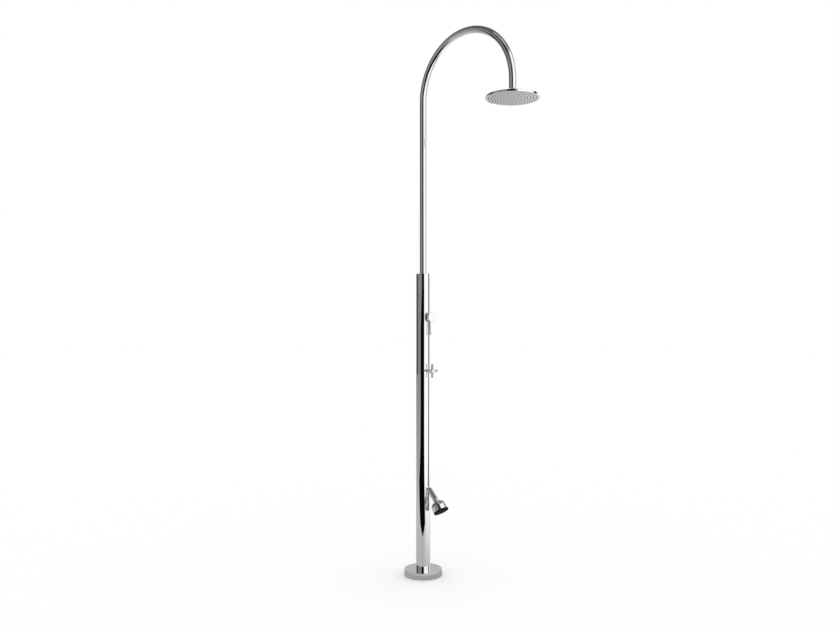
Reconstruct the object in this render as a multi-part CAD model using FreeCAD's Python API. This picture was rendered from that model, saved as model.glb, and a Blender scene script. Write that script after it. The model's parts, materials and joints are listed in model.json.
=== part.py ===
import FreeCAD, Part
import math
import os

# An outdoor shower post: a floor-bolted column with a single-lever mixer, a cross-handle
# stop tap and a foot spray, and a thin riser tube that arches over to a round rain head.
# Millimetres and degrees. The origin is the centre of the base on the floor, +Z is up and
# the arch, the controls and the foot spray all face -Y.

V = FreeCAD.Vector
UP = V(0, 0, 1)
DOWN = V(0, 0, -1)
FRONT = V(0, -1, 0)
SIDE = V(1, 0, 0)

# ---------------------------------------------------------------- clearances
seat_gap = 0.05            # radial gap of a piece seated in its neighbour
running_gap = 0.05         # radial gap of a shaft that turns in its bore
wall_gap = 0.1             # radial gap where a piece passes through the column wall
ball_gap = 0.3             # gap between the spherical faces of a ball joint
turn_gap = 0.5             # end gap between a piece that turns and one that stands still
disc_gap = 0.1             # gap between the two ceramic discs
fork_gap = 0.3             # side gap of the lever stem in its fork

# ---------------------------------------------------------------- base
base_diameter = 160.0
base_height = 29.0
base_wall = 2.0
base_edge_round = 0.6
plate_diameter = 150.0
plate_thickness = 8.0
anchor_circle = 116.0
anchor_count = 4
anchor_hole = 11.0
pipe_opening = 52.0

# ---------------------------------------------------------------- column
column_diameter = 60.0
column_wall = 2.0
column_height = 1290.0     # floor to the flat top
cap_flange = 4.0
cap_edge_round = 0.8
cap_plug_length = 18.0
cap_plug_depth_gap = 6.0   # plug end to the seal's groove
seal_thickness = 2.5
seal_groove_width = 3.2

# ---------------------------------------------------------------- riser and arch
riser_diameter = 29.0
riser_wall = 1.5
arch_spring_height = 2026.0
arch_radius = 244.0
arch_drop = 23.0           # straight run below the arch, on the head's side
socket_wall = 4.0
socket_depth = 22.0        # how far the riser stands in its socket
socket_floor = 24.0
guide_thickness = 8.0
socket_edge_round = 1.0

# ---------------------------------------------------------------- water pipes
pipe_diameter = 10.0
pipe_wall = 1.0
supply_spread = 12.7       # hot and cold lines stand this far left and right
supply_setback = 8.0       # and this far behind the column's axis
joint_depth = 8.0          # how far a pipe stands in a fitting
mixed_pipe_diameter = 14.0
inlet_bottom = 12.0
inlet_length = 36.0
inlet_diameter = 25.0
inlet_thread_bore = 18.64
inlet_thread_length = 14.0
inlet_edge_round = 1.0
inlet_bracket_thickness = 5.0
inlet_bracket_drop = 2.0   # joint's floor to the bracket's top
check_valve_diameter = 14.0
check_valve_length = 11.0
spacer_thickness = 6.0

# ---------------------------------------------------------------- mixer
mixer_drop = 185.0         # column's flat top to the mixer's axis
mixed_pipe_run = 43.0      # mixer's top to the riser's socket
mixer_pivot_out = 10.0     # column's surface to the lever's pivot
mixer_body_inset = 3.0
mixer_body_height = 56.0
mixer_flange_thickness = 5.0
sleeve_diameter = 27.0
sleeve_back = 15.0         # sleeve starts this far in front of the column's axis
dome_radius = 16.2
dome_front = 3.0
dome_bore = 21.0
cartridge_diameter = 24.0
cartridge_back = -8.0
rotor_diameter = 16.0
rotor_back = 10.0
fork_diameter = 20.0
fork_front = 3.2
fork_slot_depth = 5.0
pivot_pin_diameter = 3.5
pivot_pin_length = 18.0
stem_diameter = 8.0
stem_reach = 11.5
knob_diameter = 43.0
knob_rim_diameter = 35.2
knob_back = -4.5
knob_shoulder = 3.0
knob_front = 13.0
knob_shoulder_round = 7.0
knob_edge_round = 1.5
knob_rim_round = 0.7
knob_floor = 7.5
knob_dome_gap = 0.5
lever_diameter = 8.0
lever_tip_diameter = 9.2
lever_stud_diameter = 5.0
lever_root = 19.0
lever_stud_start = 17.1
lever_length = 76.0        # mixer axis to the lever's tip
lever_tip_length = 12.0
lever_tip_round = 1.2
lever_offset = -0.2
lever_lean = 3.0
grub_diameter = 3.0
grub_length = 8.0
grub_offset = 9.5

# ---------------------------------------------------------------- stop tap
tap_height = 876.0
tap_body_diameter = 23.0
tap_stub_diameter = 11.0
tap_stub_length = 14.0
tap_seat = 3.0                 # front of the column's axis to the fixed disc
tap_bore = 16.1
ceramic_disc_thickness = 3.0
spindle_flange_diameter = 14.0
spindle_flange_thickness = 2.6
spindle_diameter = 8.0
bonnet_thread_start = 12.0
bonnet_diameter = 18.0
bonnet_edge_round = 1.0
bonnet_reach = 14.0            # column's surface to the bonnet's front
hub_diameter = 19.0
hub_reach = 32.0               # column's surface to the hub's front
hub_edge_round = 2.5
hub_rim_round = 0.6
hub_recess_diameter = 13.0
hub_recess_depth = 4.0
spoke_diameter = 10.5
spoke_count = 4
spoke_reach = 29.0
spoke_centre = 25.7            # column's surface to the spokes' plane
spoke_end_round = 2.0
spindle_end = 26.0             # column's surface to the spindle's end
cross_screw_diameter = 4.0
cross_screw_head = 8.0
cross_screw_head_height = 2.4
cross_screw_head_round = 0.4
cross_screw_socket = 2.0
cross_screw_socket_depth = 1.2
cross_screw_length = 8.0
cross_cap_thickness = 1.6
cross_cap_proud = 0.6
cross_cap_round = 0.54
tee_diameter = 14.0
tee_length = 32.0
tee_branch_diameter = 8.0

# ---------------------------------------------------------------- foot spray
foot_exit_height = 370.0
foot_angle = 48.0              # the arm below the horizontal
bell_angle = 56.0              # the bell below the horizontal, as it hangs at rest
foot_line_out = 14.0           # feed pipe in front of the column's axis
foot_line_insert = 3.0         # how far the feed pipe stands in the tap
foot_line_gap = 0.2            # feed pipe's end above the foot spray's stub
foot_stub_diameter = 23.0
foot_stub_start = 8.0
foot_stub_reach = 4.0          # column's surface to the start of the bend
foot_bend_radius = 16.0
foot_passage = 14.0
foot_neck_diameter = 24.0      # at the ball
foot_swell_diameter = 26.4     # the arm's widest place
foot_swell_back = 20.0         # and how far behind the ball's centre it is
foot_neck_length = 62.0        # end of the bend to the ball's centre
foot_ball_radius = 18.0
foot_block_diameter = 26.0
foot_block_back = -2.0
foot_seat_thickness = 2.4
foot_seat_back = 2.5
foot_seat_front = 12.0
bell_radius = 32.5
bell_shoulder_radius = 22.0
bell_shoulder_end = 13.0
bell_front = 30.5
bell_rim_back = 9.4
bell_collar_radius = 18.0
bell_step = 4.0
bell_edge_round = 0.4
bell_collar_round = 0.8
bell_chamber_radius = 27.0
bell_chamber_start = 14.5
retainer_thickness = 2.5
retainer_bore = 30.0
flow_disc_thickness = 2.0
flow_disc_start = 22.0
flow_hole_diameter = 6.0
flow_hole_circle = 34.0
flow_hole_count = 8
foot_face_depth = 8.0          # bell's front edge to the face
foot_face_thickness = 3.0
foot_face_wall = 2.5
foot_face_round = 1.5
foot_spigot_radius = 30.5
foot_spigot_length = 3.2
foot_spigot_gap = 0.3          # spigot's end to its seat in the bell
foot_nozzle_rings = 3
foot_nozzle_pitch = 7.6
foot_nozzle_base = 2.4
foot_nozzle_tip = 1.6
foot_nozzle_height = 1.0

# ---------------------------------------------------------------- rain head
collar_length = 17.0
collar_spigot_length = 12.0
collar_edge_round = 0.6
head_ball_drop = 14.0          # collar's end to the ball's centre
head_ball_radius = 8.5
head_stem_diameter = 9.0
head_stud_diameter = 12.0
head_stud_length = 12.0
head_stud_bore = 5.0
head_stud_round = 0.8
head_seat_thickness = 1.8
head_seat_top = 0.8
head_seat_bottom = -6.0
nut_diameter = 28.0
nut_top = 9.0
nut_top_diameter = 23.0
nut_shoulder = 5.0
nut_mouth_top_diameter = 15.8
nut_mouth_diameter = 14.0
nut_step = 3.4
nut_bottom = -13.8
nut_bottom_round = 0.8
nut_shoulder_round = 2.0
nut_top_round = 0.6
hub_thread_diameter = 21.8
head_washer_thickness = 1.5
head_washer_bore = 8.0
head_washer_drop = 9.0         # ball's centre to the washer's top
head_face_drop = 24.0          # ball's centre to the head's lower rim
head_diameter = 210.0
head_rim_height = 8.5
head_rim_wall = 1.6
head_top_wall = 2.0
head_edge_round = 1.5
head_cone_diameter = 44.0
head_cone_rise = 1.5
head_cone_round = 20.0
head_cone_inner_round = 10.0
face_plate_recess = 0.5
face_plate_thickness = 1.5
nozzle_mat_thickness = 1.0
nozzle_mat_margin = 3.0
nozzle_rings = 8
nozzle_pitch = 11.6
nozzle_base = 3.2
nozzle_tip = 2.0
nozzle_height = 1.5
ring_step = 6                  # each ring of nozzles has this many more than the last

# ---------------------------------------------------------------- worked-out places
column_radius = column_diameter / 2
column_inner = column_radius - column_wall
riser_radius = riser_diameter / 2
pipe_radius = pipe_diameter / 2
mixer_height = column_height - mixer_drop
mixer_bottom = mixer_height - mixer_body_height / 2
mixer_top = mixer_height + mixer_body_height / 2
socket_bottom = mixer_top + mixed_pipe_run
riser_bottom = socket_bottom + socket_floor
supply_bottom = inlet_bottom + inlet_length - joint_depth
supply_top = mixer_bottom + joint_depth
bracket_top = supply_bottom - inlet_bracket_drop
tee_bottom = tap_height - tee_length / 2
tee_top = tap_height + tee_length / 2
foot_line_top = tap_height - tap_body_diameter / 2 + foot_line_insert
foot_line_bottom = foot_exit_height + foot_stub_diameter / 2 + foot_line_gap
foot_block_bottom = foot_exit_height - foot_block_diameter / 2
foot_block_top = foot_exit_height + foot_block_diameter / 2
spacer_heights = ((supply_bottom + foot_block_bottom) / 2, (foot_block_top + tee_bottom) / 2,
                  (tee_top + mixer_bottom) / 2)

mixer_pivot = V(0, -(column_radius + mixer_pivot_out), mixer_height)
dome_start = -math.sqrt(dome_radius ** 2 - (sleeve_diameter / 2) ** 2)
cartridge_front = dome_start - seat_gap
knob_cavity = dome_radius + knob_dome_gap
lever_slope = math.radians(lever_lean)
lever_axis = V(0, -math.sin(lever_slope), -math.cos(lever_slope))
lever_base = mixer_pivot + FRONT * lever_offset

disc_front = tap_seat + ceramic_disc_thickness
flange_back = disc_front + disc_gap + ceramic_disc_thickness
bonnet_front = column_radius + bonnet_reach
spindle_front = column_radius + spindle_end
hub_front = column_radius + hub_reach
hub_floor = hub_front - hub_recess_depth
cross_centre = V(0, -(column_radius + spoke_centre), tap_height)

arch_end = V(0, -2 * arch_radius, arch_spring_height - arch_drop)
collar_bottom = arch_end - V(0, 0, collar_length)
head_ball = collar_bottom - V(0, 0, head_ball_drop)
head_face = head_ball - V(0, 0, head_face_drop)
head_socket_radius = head_ball_radius + ball_gap
head_seat_outer = head_socket_radius + head_seat_thickness
head_cavity_radius = head_seat_outer + ball_gap
head_cone_top = head_rim_height + head_cone_rise
washer_top = head_face_drop - head_washer_drop
washer_bottom = washer_top - head_washer_thickness
face_plate_top = face_plate_recess + face_plate_thickness

foot_slope = math.radians(foot_angle)
foot_axis = V(0, -math.cos(foot_slope), -math.sin(foot_slope))
foot_bend_start = V(0, -(column_radius + foot_stub_reach), foot_exit_height)
foot_bend_centre = foot_bend_start - V(0, 0, foot_bend_radius)
foot_bend_end = foot_bend_centre + V(0, -math.sin(foot_slope), math.cos(foot_slope)) * foot_bend_radius
foot_ball = foot_bend_end + foot_axis * foot_neck_length
bell_slope = math.radians(bell_angle)
bell_axis = V(0, -math.cos(bell_slope), -math.sin(bell_slope))
bell_lift = SIDE.cross(bell_axis)
foot_socket_radius = foot_ball_radius + ball_gap
foot_seat_outer = foot_socket_radius + foot_seat_thickness
foot_cavity_radius = foot_seat_outer + ball_gap
foot_face_front = bell_front + foot_face_depth

hot_place = V(-supply_spread, supply_setback, 0)
cold_place = V(supply_spread, supply_setback, 0)
foot_line_place = V(0, -foot_line_out, 0)


# ---------------------------------------------------------------- shape helpers
def cylinder(radius, start, end):
    """A solid cylinder between two points."""
    run = end - start
    return Part.makeCylinder(radius, run.Length, start, run)


def pipe(radius, wall, start, end):
    """A straight open tube between two points."""
    return cylinder(radius, start, end).cut(cylinder(radius - wall, start, end))


def on_axis(distance, height):
    """A point in the plane of the arch, so far in front of the column's axis."""
    return V(0, -distance, height)


def corner_arc(before, corner, after, radius):
    """The arc of a given radius that rounds one corner: its start, middle and end."""
    to_before = (before - corner).normalize()
    to_after = (after - corner).normalize()
    half = to_before.getAngle(to_after) / 2
    reach = radius / math.tan(half)
    bisector = (to_before + to_after).normalize()
    centre = corner + bisector * (radius / math.sin(half))
    return corner + to_before * reach, centre - bisector * radius, corner + to_after * reach


def lathe(outline, origin, direction):
    """A turned solid. Each outline entry is (along, radius), (along, radius, rounding) or,
    for an arc through a middle point, (middle along, middle radius, along, radius)."""
    spots = [V(entry[-1], 0, entry[-2]) if len(entry) != 3 else V(entry[1], 0, entry[0]) for entry in outline]
    edges = []
    first = None
    last = None
    for index, entry in enumerate(outline):
        spot = spots[index]
        start = spot
        end = spot
        if len(entry) == 3:
            start, middle, end = corner_arc(spots[index - 1], spot, spots[(index + 1) % len(spots)], entry[2])
        if last is None:
            first = start
        elif len(entry) == 4:
            edges.append(Part.Arc(last, V(entry[1], 0, entry[0]), spot).toShape())
        else:
            edges.append(Part.makeLine(last, start))
        if len(entry) == 3:
            edges.append(Part.Arc(start, middle, end).toShape())
        last = end
    edges.append(Part.makeLine(last, first))
    solid = Part.Face(Part.Wire(edges)).revolve(V(0, 0, 0), UP, 360)
    solid.Placement = FreeCAD.Placement(origin, FreeCAD.Rotation(UP, direction))
    return solid


def ball_zone(radius, low, high, origin, direction):
    """The part of a ball between two flat cuts square to its axis."""
    whole = Part.makeSphere(radius, origin)
    slab = cylinder(radius * 2, origin + direction * low, origin + direction * high)
    return whole.common(slab)


def wall_reach(radius):
    """How far in front of the column's axis a flat end of this radius meets the inner wall."""
    return math.sqrt(column_inner ** 2 - radius ** 2) - seat_gap


def bend(radius, start, centre, angle):
    """A round bar that leaves start and turns about a level axis through centre."""
    across = start - centre
    face = Part.Face(Part.Wire(Part.makeCircle(radius, start, across.cross(SIDE))))
    return face.revolve(centre, SIDE, angle)


def ring_places(rings, pitch, more):
    """Places on evenly spaced rings around a centre, with so many more on each ring."""
    places = [(0.0, 0.0)]
    for ring in range(1, rings + 1):
        count = more * ring
        for index in range(count):
            turn = 2 * math.pi * index / count
            places.append((ring * pitch * math.cos(turn), ring * pitch * math.sin(turn)))
    return places


# ---------------------------------------------------------------- base
def floor_plate():
    plate = cylinder(plate_diameter / 2, V(0, 0, 0), V(0, 0, plate_thickness))
    plate = plate.cut(cylinder(pipe_opening / 2, V(0, 0, 0), V(0, 0, plate_thickness)))
    for index in range(anchor_count):
        turn = 2 * math.pi * (index + 0.5) / anchor_count
        place = V(math.cos(turn), math.sin(turn), 0) * (anchor_circle / 2)
        plate = plate.cut(cylinder(anchor_hole / 2, place, place + V(0, 0, plate_thickness)))
    return plate


def base_cover():
    outer = base_diameter / 2
    inner = outer - base_wall
    ceiling = base_height - base_wall
    neck = column_radius + wall_gap
    return lathe([(0, inner), (0, outer), (base_height, outer, base_edge_round), (base_height, neck),
                  (ceiling, neck), (ceiling, inner, base_edge_round / 2)], V(0, 0, 0), UP)


# ---------------------------------------------------------------- column
def column_tube():
    tube = pipe(column_radius, column_wall, V(0, 0, plate_thickness), V(0, 0, column_height - cap_flange))
    openings = ((sleeve_diameter, mixer_height), (bonnet_diameter, tap_height),
                (foot_stub_diameter, foot_exit_height))
    for width, height in openings:
        tube = tube.cut(cylinder(width / 2 + wall_gap, on_axis(0, height), on_axis(column_diameter, height)))
    return tube


def column_cap():
    plug = column_inner - seat_gap
    bore = riser_radius + seat_gap
    shoulder = column_height - cap_flange
    bottom = shoulder - cap_plug_length
    groove_low = bottom + cap_plug_depth_gap
    groove_high = groove_low + seal_groove_width
    groove = bore + seal_thickness
    return lathe([(bottom, bore), (bottom, plug), (shoulder, plug), (shoulder, column_radius),
                  (column_height, column_radius, cap_edge_round), (column_height, bore),
                  (groove_high, bore), (groove_high, groove), (groove_low, groove), (groove_low, bore)],
                 V(0, 0, 0), UP)


def cap_seal_ring():
    groove_low = column_height - cap_flange - cap_plug_length + cap_plug_depth_gap
    centre = V(0, 0, groove_low + seal_groove_width / 2)
    middle = riser_radius + seat_gap + seal_thickness / 2
    return Part.makeTorus(middle, seal_thickness / 2 - seat_gap, centre, UP)


# ---------------------------------------------------------------- riser and arch
def riser_arch_tube():
    lower = V(0, 0, riser_bottom)
    spring = V(0, 0, arch_spring_height)
    far_spring = V(0, -2 * arch_radius, arch_spring_height)
    centre = V(0, -arch_radius, arch_spring_height)

    def bar(radius):
        straight = cylinder(radius, lower, spring)
        arch = bend(radius, spring, centre, 180)
        drop = cylinder(radius, far_spring, arch_end)
        return straight.fuse([arch, drop])

    return bar(riser_radius).cut(bar(riser_radius - riser_wall)).removeSplitter()


def riser_socket():
    outer = riser_radius + socket_wall
    seat = riser_radius + seat_gap
    port = mixed_pipe_diameter / 2 + seat_gap
    bore = mixed_pipe_diameter / 2 - pipe_wall
    top = riser_bottom + socket_depth
    port_top = socket_bottom + joint_depth
    return lathe([(socket_bottom, port), (socket_bottom, outer, socket_edge_round),
                  (top, outer, socket_edge_round), (top, seat),
                  (riser_bottom, seat), (riser_bottom, bore), (port_top, bore), (port_top, port)],
                 V(0, 0, 0), UP)


def riser_guide_ring():
    middle = riser_bottom + socket_depth / 2
    low = V(0, 0, middle - guide_thickness / 2)
    high = V(0, 0, middle + guide_thickness / 2)
    ring = cylinder(column_inner - seat_gap, low, high)
    return ring.cut(cylinder(riser_radius + socket_wall + seat_gap, low, high))


def mixed_water_pipe():
    return pipe(mixed_pipe_diameter / 2, pipe_wall, V(0, 0, mixer_top - joint_depth),
                V(0, 0, socket_bottom + joint_depth))


# ---------------------------------------------------------------- supply lines
def inlet_socket(place):
    bottom = inlet_bottom
    thread_top = bottom + inlet_thread_length
    valve_top = thread_top + check_valve_length
    top = bottom + inlet_length
    outer = inlet_diameter / 2
    pipe_seat = pipe_radius + seat_gap
    passage = pipe_radius - pipe_wall
    valve = check_valve_diameter / 2 + seat_gap
    return lathe([(bottom, inlet_thread_bore / 2), (bottom, outer, inlet_edge_round),
                  (top, outer, inlet_edge_round), (top, pipe_seat), (top - joint_depth, pipe_seat),
                  (top - joint_depth, passage), (valve_top, passage), (valve_top, valve),
                  (thread_top, valve), (thread_top, inlet_thread_bore / 2)], place, UP)


def check_valves():
    low = inlet_bottom + inlet_thread_length
    bodies = []
    for place in (hot_place, cold_place):
        bodies.append(pipe(check_valve_diameter / 2, 2 * pipe_wall, place + V(0, 0, low),
                           place + V(0, 0, low + check_valve_length)))
    return Part.makeCompound(bodies)


def inlet_bracket():
    low = V(0, 0, bracket_top - inlet_bracket_thickness)
    high = V(0, 0, bracket_top)
    disc = cylinder(column_inner - seat_gap, low, high)
    for place in (hot_place, cold_place):
        disc = disc.cut(cylinder(inlet_diameter / 2 + seat_gap, place + low, place + high))
    return disc


def supply_pipe(place, bottom, top):
    return pipe(pipe_radius, pipe_wall, place + V(0, 0, bottom), place + V(0, 0, top))


def cold_tee():
    low = cold_place + V(0, 0, tee_bottom)
    high = cold_place + V(0, 0, tee_top)
    body = cylinder(tee_diameter / 2, low, high)
    branch_start = cold_place + V(0, 0, tap_height)
    branch_end = V(0, supply_setback, tap_height)
    body = body.fuse(cylinder(tee_branch_diameter / 2, branch_start, branch_end))
    body = body.cut(cylinder(pipe_radius - pipe_wall, low, high))
    lift = V(0, 0, joint_depth)
    body = body.cut(cylinder(pipe_radius + seat_gap, low, low + lift))
    body = body.cut(cylinder(pipe_radius + seat_gap, high - lift, high))
    body = body.cut(cylinder(tee_branch_diameter / 2 - pipe_wall, branch_start, branch_end))
    stub_end = V(0, tap_stub_length, tap_height)
    return body.cut(cylinder(tap_stub_diameter / 2 + seat_gap, V(0, 0, tap_height), stub_end))


def pipe_spacers():
    lines = ((hot_place, supply_bottom, supply_top), (cold_place, supply_bottom, supply_top),
             (foot_line_place, foot_line_bottom, foot_line_top))
    discs = []
    for height in spacer_heights:
        low = V(0, 0, height)
        high = V(0, 0, height + spacer_thickness)
        disc = cylinder(column_inner - seat_gap, low, high)
        for place, bottom, top in lines:
            if bottom < height < top:
                disc = disc.cut(cylinder(pipe_radius + seat_gap, place + low, place + high))
        discs.append(disc)
    return Part.makeCompound(discs)


# ---------------------------------------------------------------- mixer, fixed pieces
def mixer_body():
    radius = column_inner - mixer_body_inset
    body = cylinder(radius, V(0, 0, mixer_bottom), V(0, 0, mixer_top))
    for low in (mixer_bottom, mixer_top - mixer_flange_thickness):
        flange = cylinder(column_inner - seat_gap, V(0, 0, low), V(0, 0, low + mixer_flange_thickness))
        body = body.fuse(flange)
    front = on_axis(column_radius, mixer_height)
    body = body.cut(cylinder(sleeve_diameter / 2 + seat_gap, on_axis(sleeve_back, mixer_height), front))
    body = body.cut(cylinder(cartridge_diameter / 2 + seat_gap, on_axis(cartridge_back, mixer_height), front))
    for place in (hot_place, cold_place):
        port = place + V(0, 0, mixer_bottom)
        body = body.cut(cylinder(pipe_radius + seat_gap, port, port + V(0, 0, joint_depth)))
    outlet = V(0, 0, mixer_top)
    body = body.cut(cylinder(mixed_pipe_diameter / 2 + seat_gap, outlet - V(0, 0, joint_depth), outlet))
    return body.cut(cylinder(mixed_pipe_diameter / 2 - pipe_wall, V(0, 0, mixer_height), outlet))


def mixer_sleeve():
    back = sleeve_back - column_radius - mixer_pivot_out
    barrel = cylinder(sleeve_diameter / 2, mixer_pivot + FRONT * back, mixer_pivot + FRONT * dome_start)
    dome = ball_zone(dome_radius, dome_start, dome_front, mixer_pivot, FRONT)
    whole = barrel.fuse(dome)
    whole = whole.cut(cylinder(cartridge_diameter / 2 + seat_gap, mixer_pivot + FRONT * back,
                               mixer_pivot + FRONT * dome_start))
    return whole.cut(cylinder(dome_bore / 2, mixer_pivot + FRONT * back, mixer_pivot + FRONT * dome_front))


def mixer_cartridge():
    front = mixer_pivot + FRONT * cartridge_front
    shell = cylinder(cartridge_diameter / 2, on_axis(cartridge_back, mixer_height), front)
    bore_back = on_axis(rotor_back - turn_gap, mixer_height)
    return shell.cut(cylinder(rotor_diameter / 2 + running_gap, bore_back, front))


# ---------------------------------------------------------------- mixer, turning pieces
def mixer_rotor():
    neck = mixer_pivot + FRONT * (cartridge_front + turn_gap)
    shaft = cylinder(rotor_diameter / 2, on_axis(rotor_back, mixer_height), neck)
    fork = cylinder(fork_diameter / 2, neck, mixer_pivot + FRONT * fork_front)
    slot_width = stem_diameter + 2 * fork_gap
    slot_length = fork_slot_depth + fork_front
    slot = Part.makeBox(slot_width, slot_length, fork_diameter,
                        mixer_pivot + V(-slot_width / 2, -fork_front, -fork_diameter / 2))
    reach = SIDE * fork_diameter
    hole = cylinder(pivot_pin_diameter / 2 + seat_gap, mixer_pivot - reach, mixer_pivot + reach)
    return shaft.fuse(fork).cut(slot).cut(hole)


def lever_pivot_pin():
    reach = SIDE * (pivot_pin_length / 2)
    return cylinder(pivot_pin_diameter / 2, mixer_pivot - reach, mixer_pivot + reach)


def lever_stem():
    half = SIDE * (stem_diameter / 2)
    eye = cylinder(stem_diameter / 2, mixer_pivot - half, mixer_pivot + half)
    shaft = cylinder(stem_diameter / 2, mixer_pivot, mixer_pivot + FRONT * stem_reach)
    pin_hole = cylinder(pivot_pin_diameter / 2 + running_gap, mixer_pivot - half, mixer_pivot + half)
    return shaft.fuse(eye).cut(pin_hole)


def mixer_knob():
    rim = knob_rim_diameter / 2
    outer = knob_diameter / 2
    knob = lathe([(knob_back, 0), (knob_back, rim, knob_rim_round),
                  (knob_shoulder, outer, knob_shoulder_round), (knob_front, outer, knob_edge_round),
                  (knob_front, 0)], mixer_pivot, FRONT)
    knob = knob.cut(ball_zone(knob_cavity, -knob_cavity, knob_floor, mixer_pivot, FRONT))
    knob = knob.cut(cylinder(stem_diameter / 2 + seat_gap, mixer_pivot, mixer_pivot + FRONT * stem_reach))
    hole_end = lever_base + lever_axis * knob_diameter
    knob = knob.cut(cylinder(lever_stud_diameter / 2 + seat_gap, lever_base, hole_end))
    knob = knob.cut(cylinder(lever_diameter / 2 + seat_gap, lever_base + lever_axis * lever_root, hole_end))
    grub_line = mixer_pivot + FRONT * grub_offset
    return knob.cut(cylinder(grub_diameter / 2 + seat_gap, grub_line, grub_line + DOWN * knob_diameter))


def pin_lever():
    stud = lever_stud_diameter / 2
    rod = lever_diameter / 2
    tip = lever_tip_diameter / 2
    return lathe([(lever_stud_start, 0), (lever_stud_start, stud), (lever_root, stud), (lever_root, rod),
                  (lever_length - lever_tip_length, rod), (lever_length, tip, lever_tip_round),
                  (lever_length, 0)], lever_base, lever_axis)


def lever_grub_screw():
    grub_line = mixer_pivot + FRONT * grub_offset
    start = grub_line + DOWN * (stem_diameter / 2 + seat_gap)
    return cylinder(grub_diameter / 2, start, start + DOWN * grub_length)


# ---------------------------------------------------------------- stop tap
def tap_body():
    front = on_axis(wall_reach(tap_body_diameter / 2), tap_height)
    body = cylinder(tap_body_diameter / 2, on_axis(0, tap_height), front)
    stub_end = V(0, tap_stub_length, tap_height)
    body = body.fuse(cylinder(tap_stub_diameter / 2, on_axis(0, tap_height), stub_end))
    body = body.cut(cylinder(tap_bore / 2, on_axis(tap_seat, tap_height), front))
    inner_end = V(0, tap_stub_length - 2 * pipe_wall, tap_height)
    passage = tee_branch_diameter / 2 - pipe_wall
    body = body.cut(cylinder(passage, on_axis(tap_seat, tap_height), inner_end))
    side_port = V(0, supply_setback, tap_height)
    body = body.cut(cylinder(passage, side_port, side_port + SIDE * tap_stub_diameter))
    port = foot_line_place + V(0, 0, tap_height - tap_body_diameter)
    return body.cut(cylinder(pipe_radius + seat_gap, port, foot_line_place + V(0, 0, tap_height)))


def tap_bonnet():
    thread = tap_bore / 2 - seat_gap
    shoulder = wall_reach(tap_body_diameter / 2)
    bore = spindle_diameter / 2 + running_gap
    return lathe([(bonnet_thread_start, bore), (bonnet_thread_start, thread), (shoulder, thread),
                  (shoulder, bonnet_diameter / 2), (bonnet_front, bonnet_diameter / 2, bonnet_edge_round),
                  (bonnet_front, bore)],
                 on_axis(0, tap_height), FRONT)


def tap_fixed_disc():
    disc = cylinder(tap_bore / 2 - seat_gap, on_axis(tap_seat, tap_height), on_axis(disc_front, tap_height))
    offset = V(0, 0, tap_bore / 4)
    port = on_axis(tap_seat, tap_height)
    for side in (1, -1):
        centre = port + offset * side
        disc = disc.cut(cylinder(tap_bore / 8, centre, centre + FRONT * ceramic_disc_thickness))
    return disc


def tap_moving_disc():
    start = on_axis(disc_front + disc_gap, tap_height)
    disc = cylinder(tap_bore / 2 - turn_gap, start, on_axis(flange_back, tap_height))
    offset = SIDE * (tap_bore / 4)
    for side in (1, -1):
        centre = start + offset * side
        disc = disc.cut(cylinder(tap_bore / 8, centre, centre + FRONT * ceramic_disc_thickness))
    return disc


def tap_spindle():
    flange_front = flange_back + spindle_flange_thickness
    shaft = spindle_diameter / 2
    thread = cross_screw_diameter / 2 + seat_gap
    thread_start = spindle_front - cross_screw_length
    return lathe([(flange_back, 0), (flange_back, spindle_flange_diameter / 2),
                  (flange_front, spindle_flange_diameter / 2), (flange_front, shaft), (spindle_front, shaft),
                  (spindle_front, thread), (thread_start, thread), (thread_start, 0)],
                 on_axis(0, tap_height), FRONT)


def spoke_solid(index):
    turn = math.radians(360.0 * index / spoke_count)
    direction = V(math.sin(turn), 0, math.cos(turn))
    seat = math.sqrt((hub_diameter / 2) ** 2 - (spoke_diameter / 2) ** 2)
    radius = spoke_diameter / 2
    return lathe([(seat, 0), (seat, radius), (spoke_reach, radius, spoke_end_round), (spoke_reach, 0)],
                 cross_centre, direction)


def cross_spokes():
    hub = cylinder(hub_diameter / 2, on_axis(column_radius, tap_height), on_axis(hub_front, tap_height))
    return Part.makeCompound([spoke_solid(index).cut(hub) for index in range(spoke_count)])


def cross_hub():
    back = bonnet_front + turn_gap
    bore = spindle_diameter / 2 + seat_gap
    screw = cross_screw_diameter / 2 + seat_gap
    recess = hub_recess_diameter / 2
    outer = hub_diameter / 2
    return lathe([(back, bore), (back, outer, hub_rim_round), (hub_front, outer, hub_edge_round),
                  (hub_front, recess), (hub_floor, recess), (hub_floor, screw), (spindle_front, screw),
                  (spindle_front, bore)],
                 on_axis(0, tap_height), FRONT)


def cross_screw():
    head = hub_floor + cross_screw_head_height
    shaft = cross_screw_diameter / 2
    shaft_start = spindle_front - cross_screw_length + turn_gap
    head_radius = cross_screw_head / 2
    socket = cross_screw_socket / 2
    socket_end = head - cross_screw_socket_depth
    return lathe([(shaft_start, 0), (shaft_start, shaft), (hub_floor, shaft), (hub_floor, head_radius),
                  (head, head_radius, cross_screw_head_round), (head, socket), (socket_end, socket),
                  (socket_end, 0)],
                 on_axis(0, tap_height), FRONT)


def cross_cap():
    front = hub_front + cross_cap_proud
    radius = hub_recess_diameter / 2 - seat_gap
    return lathe([(front - cross_cap_thickness, 0), (front - cross_cap_thickness, radius),
                  (front, radius, cross_cap_round), (front, 0)], on_axis(0, tap_height), FRONT)


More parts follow.
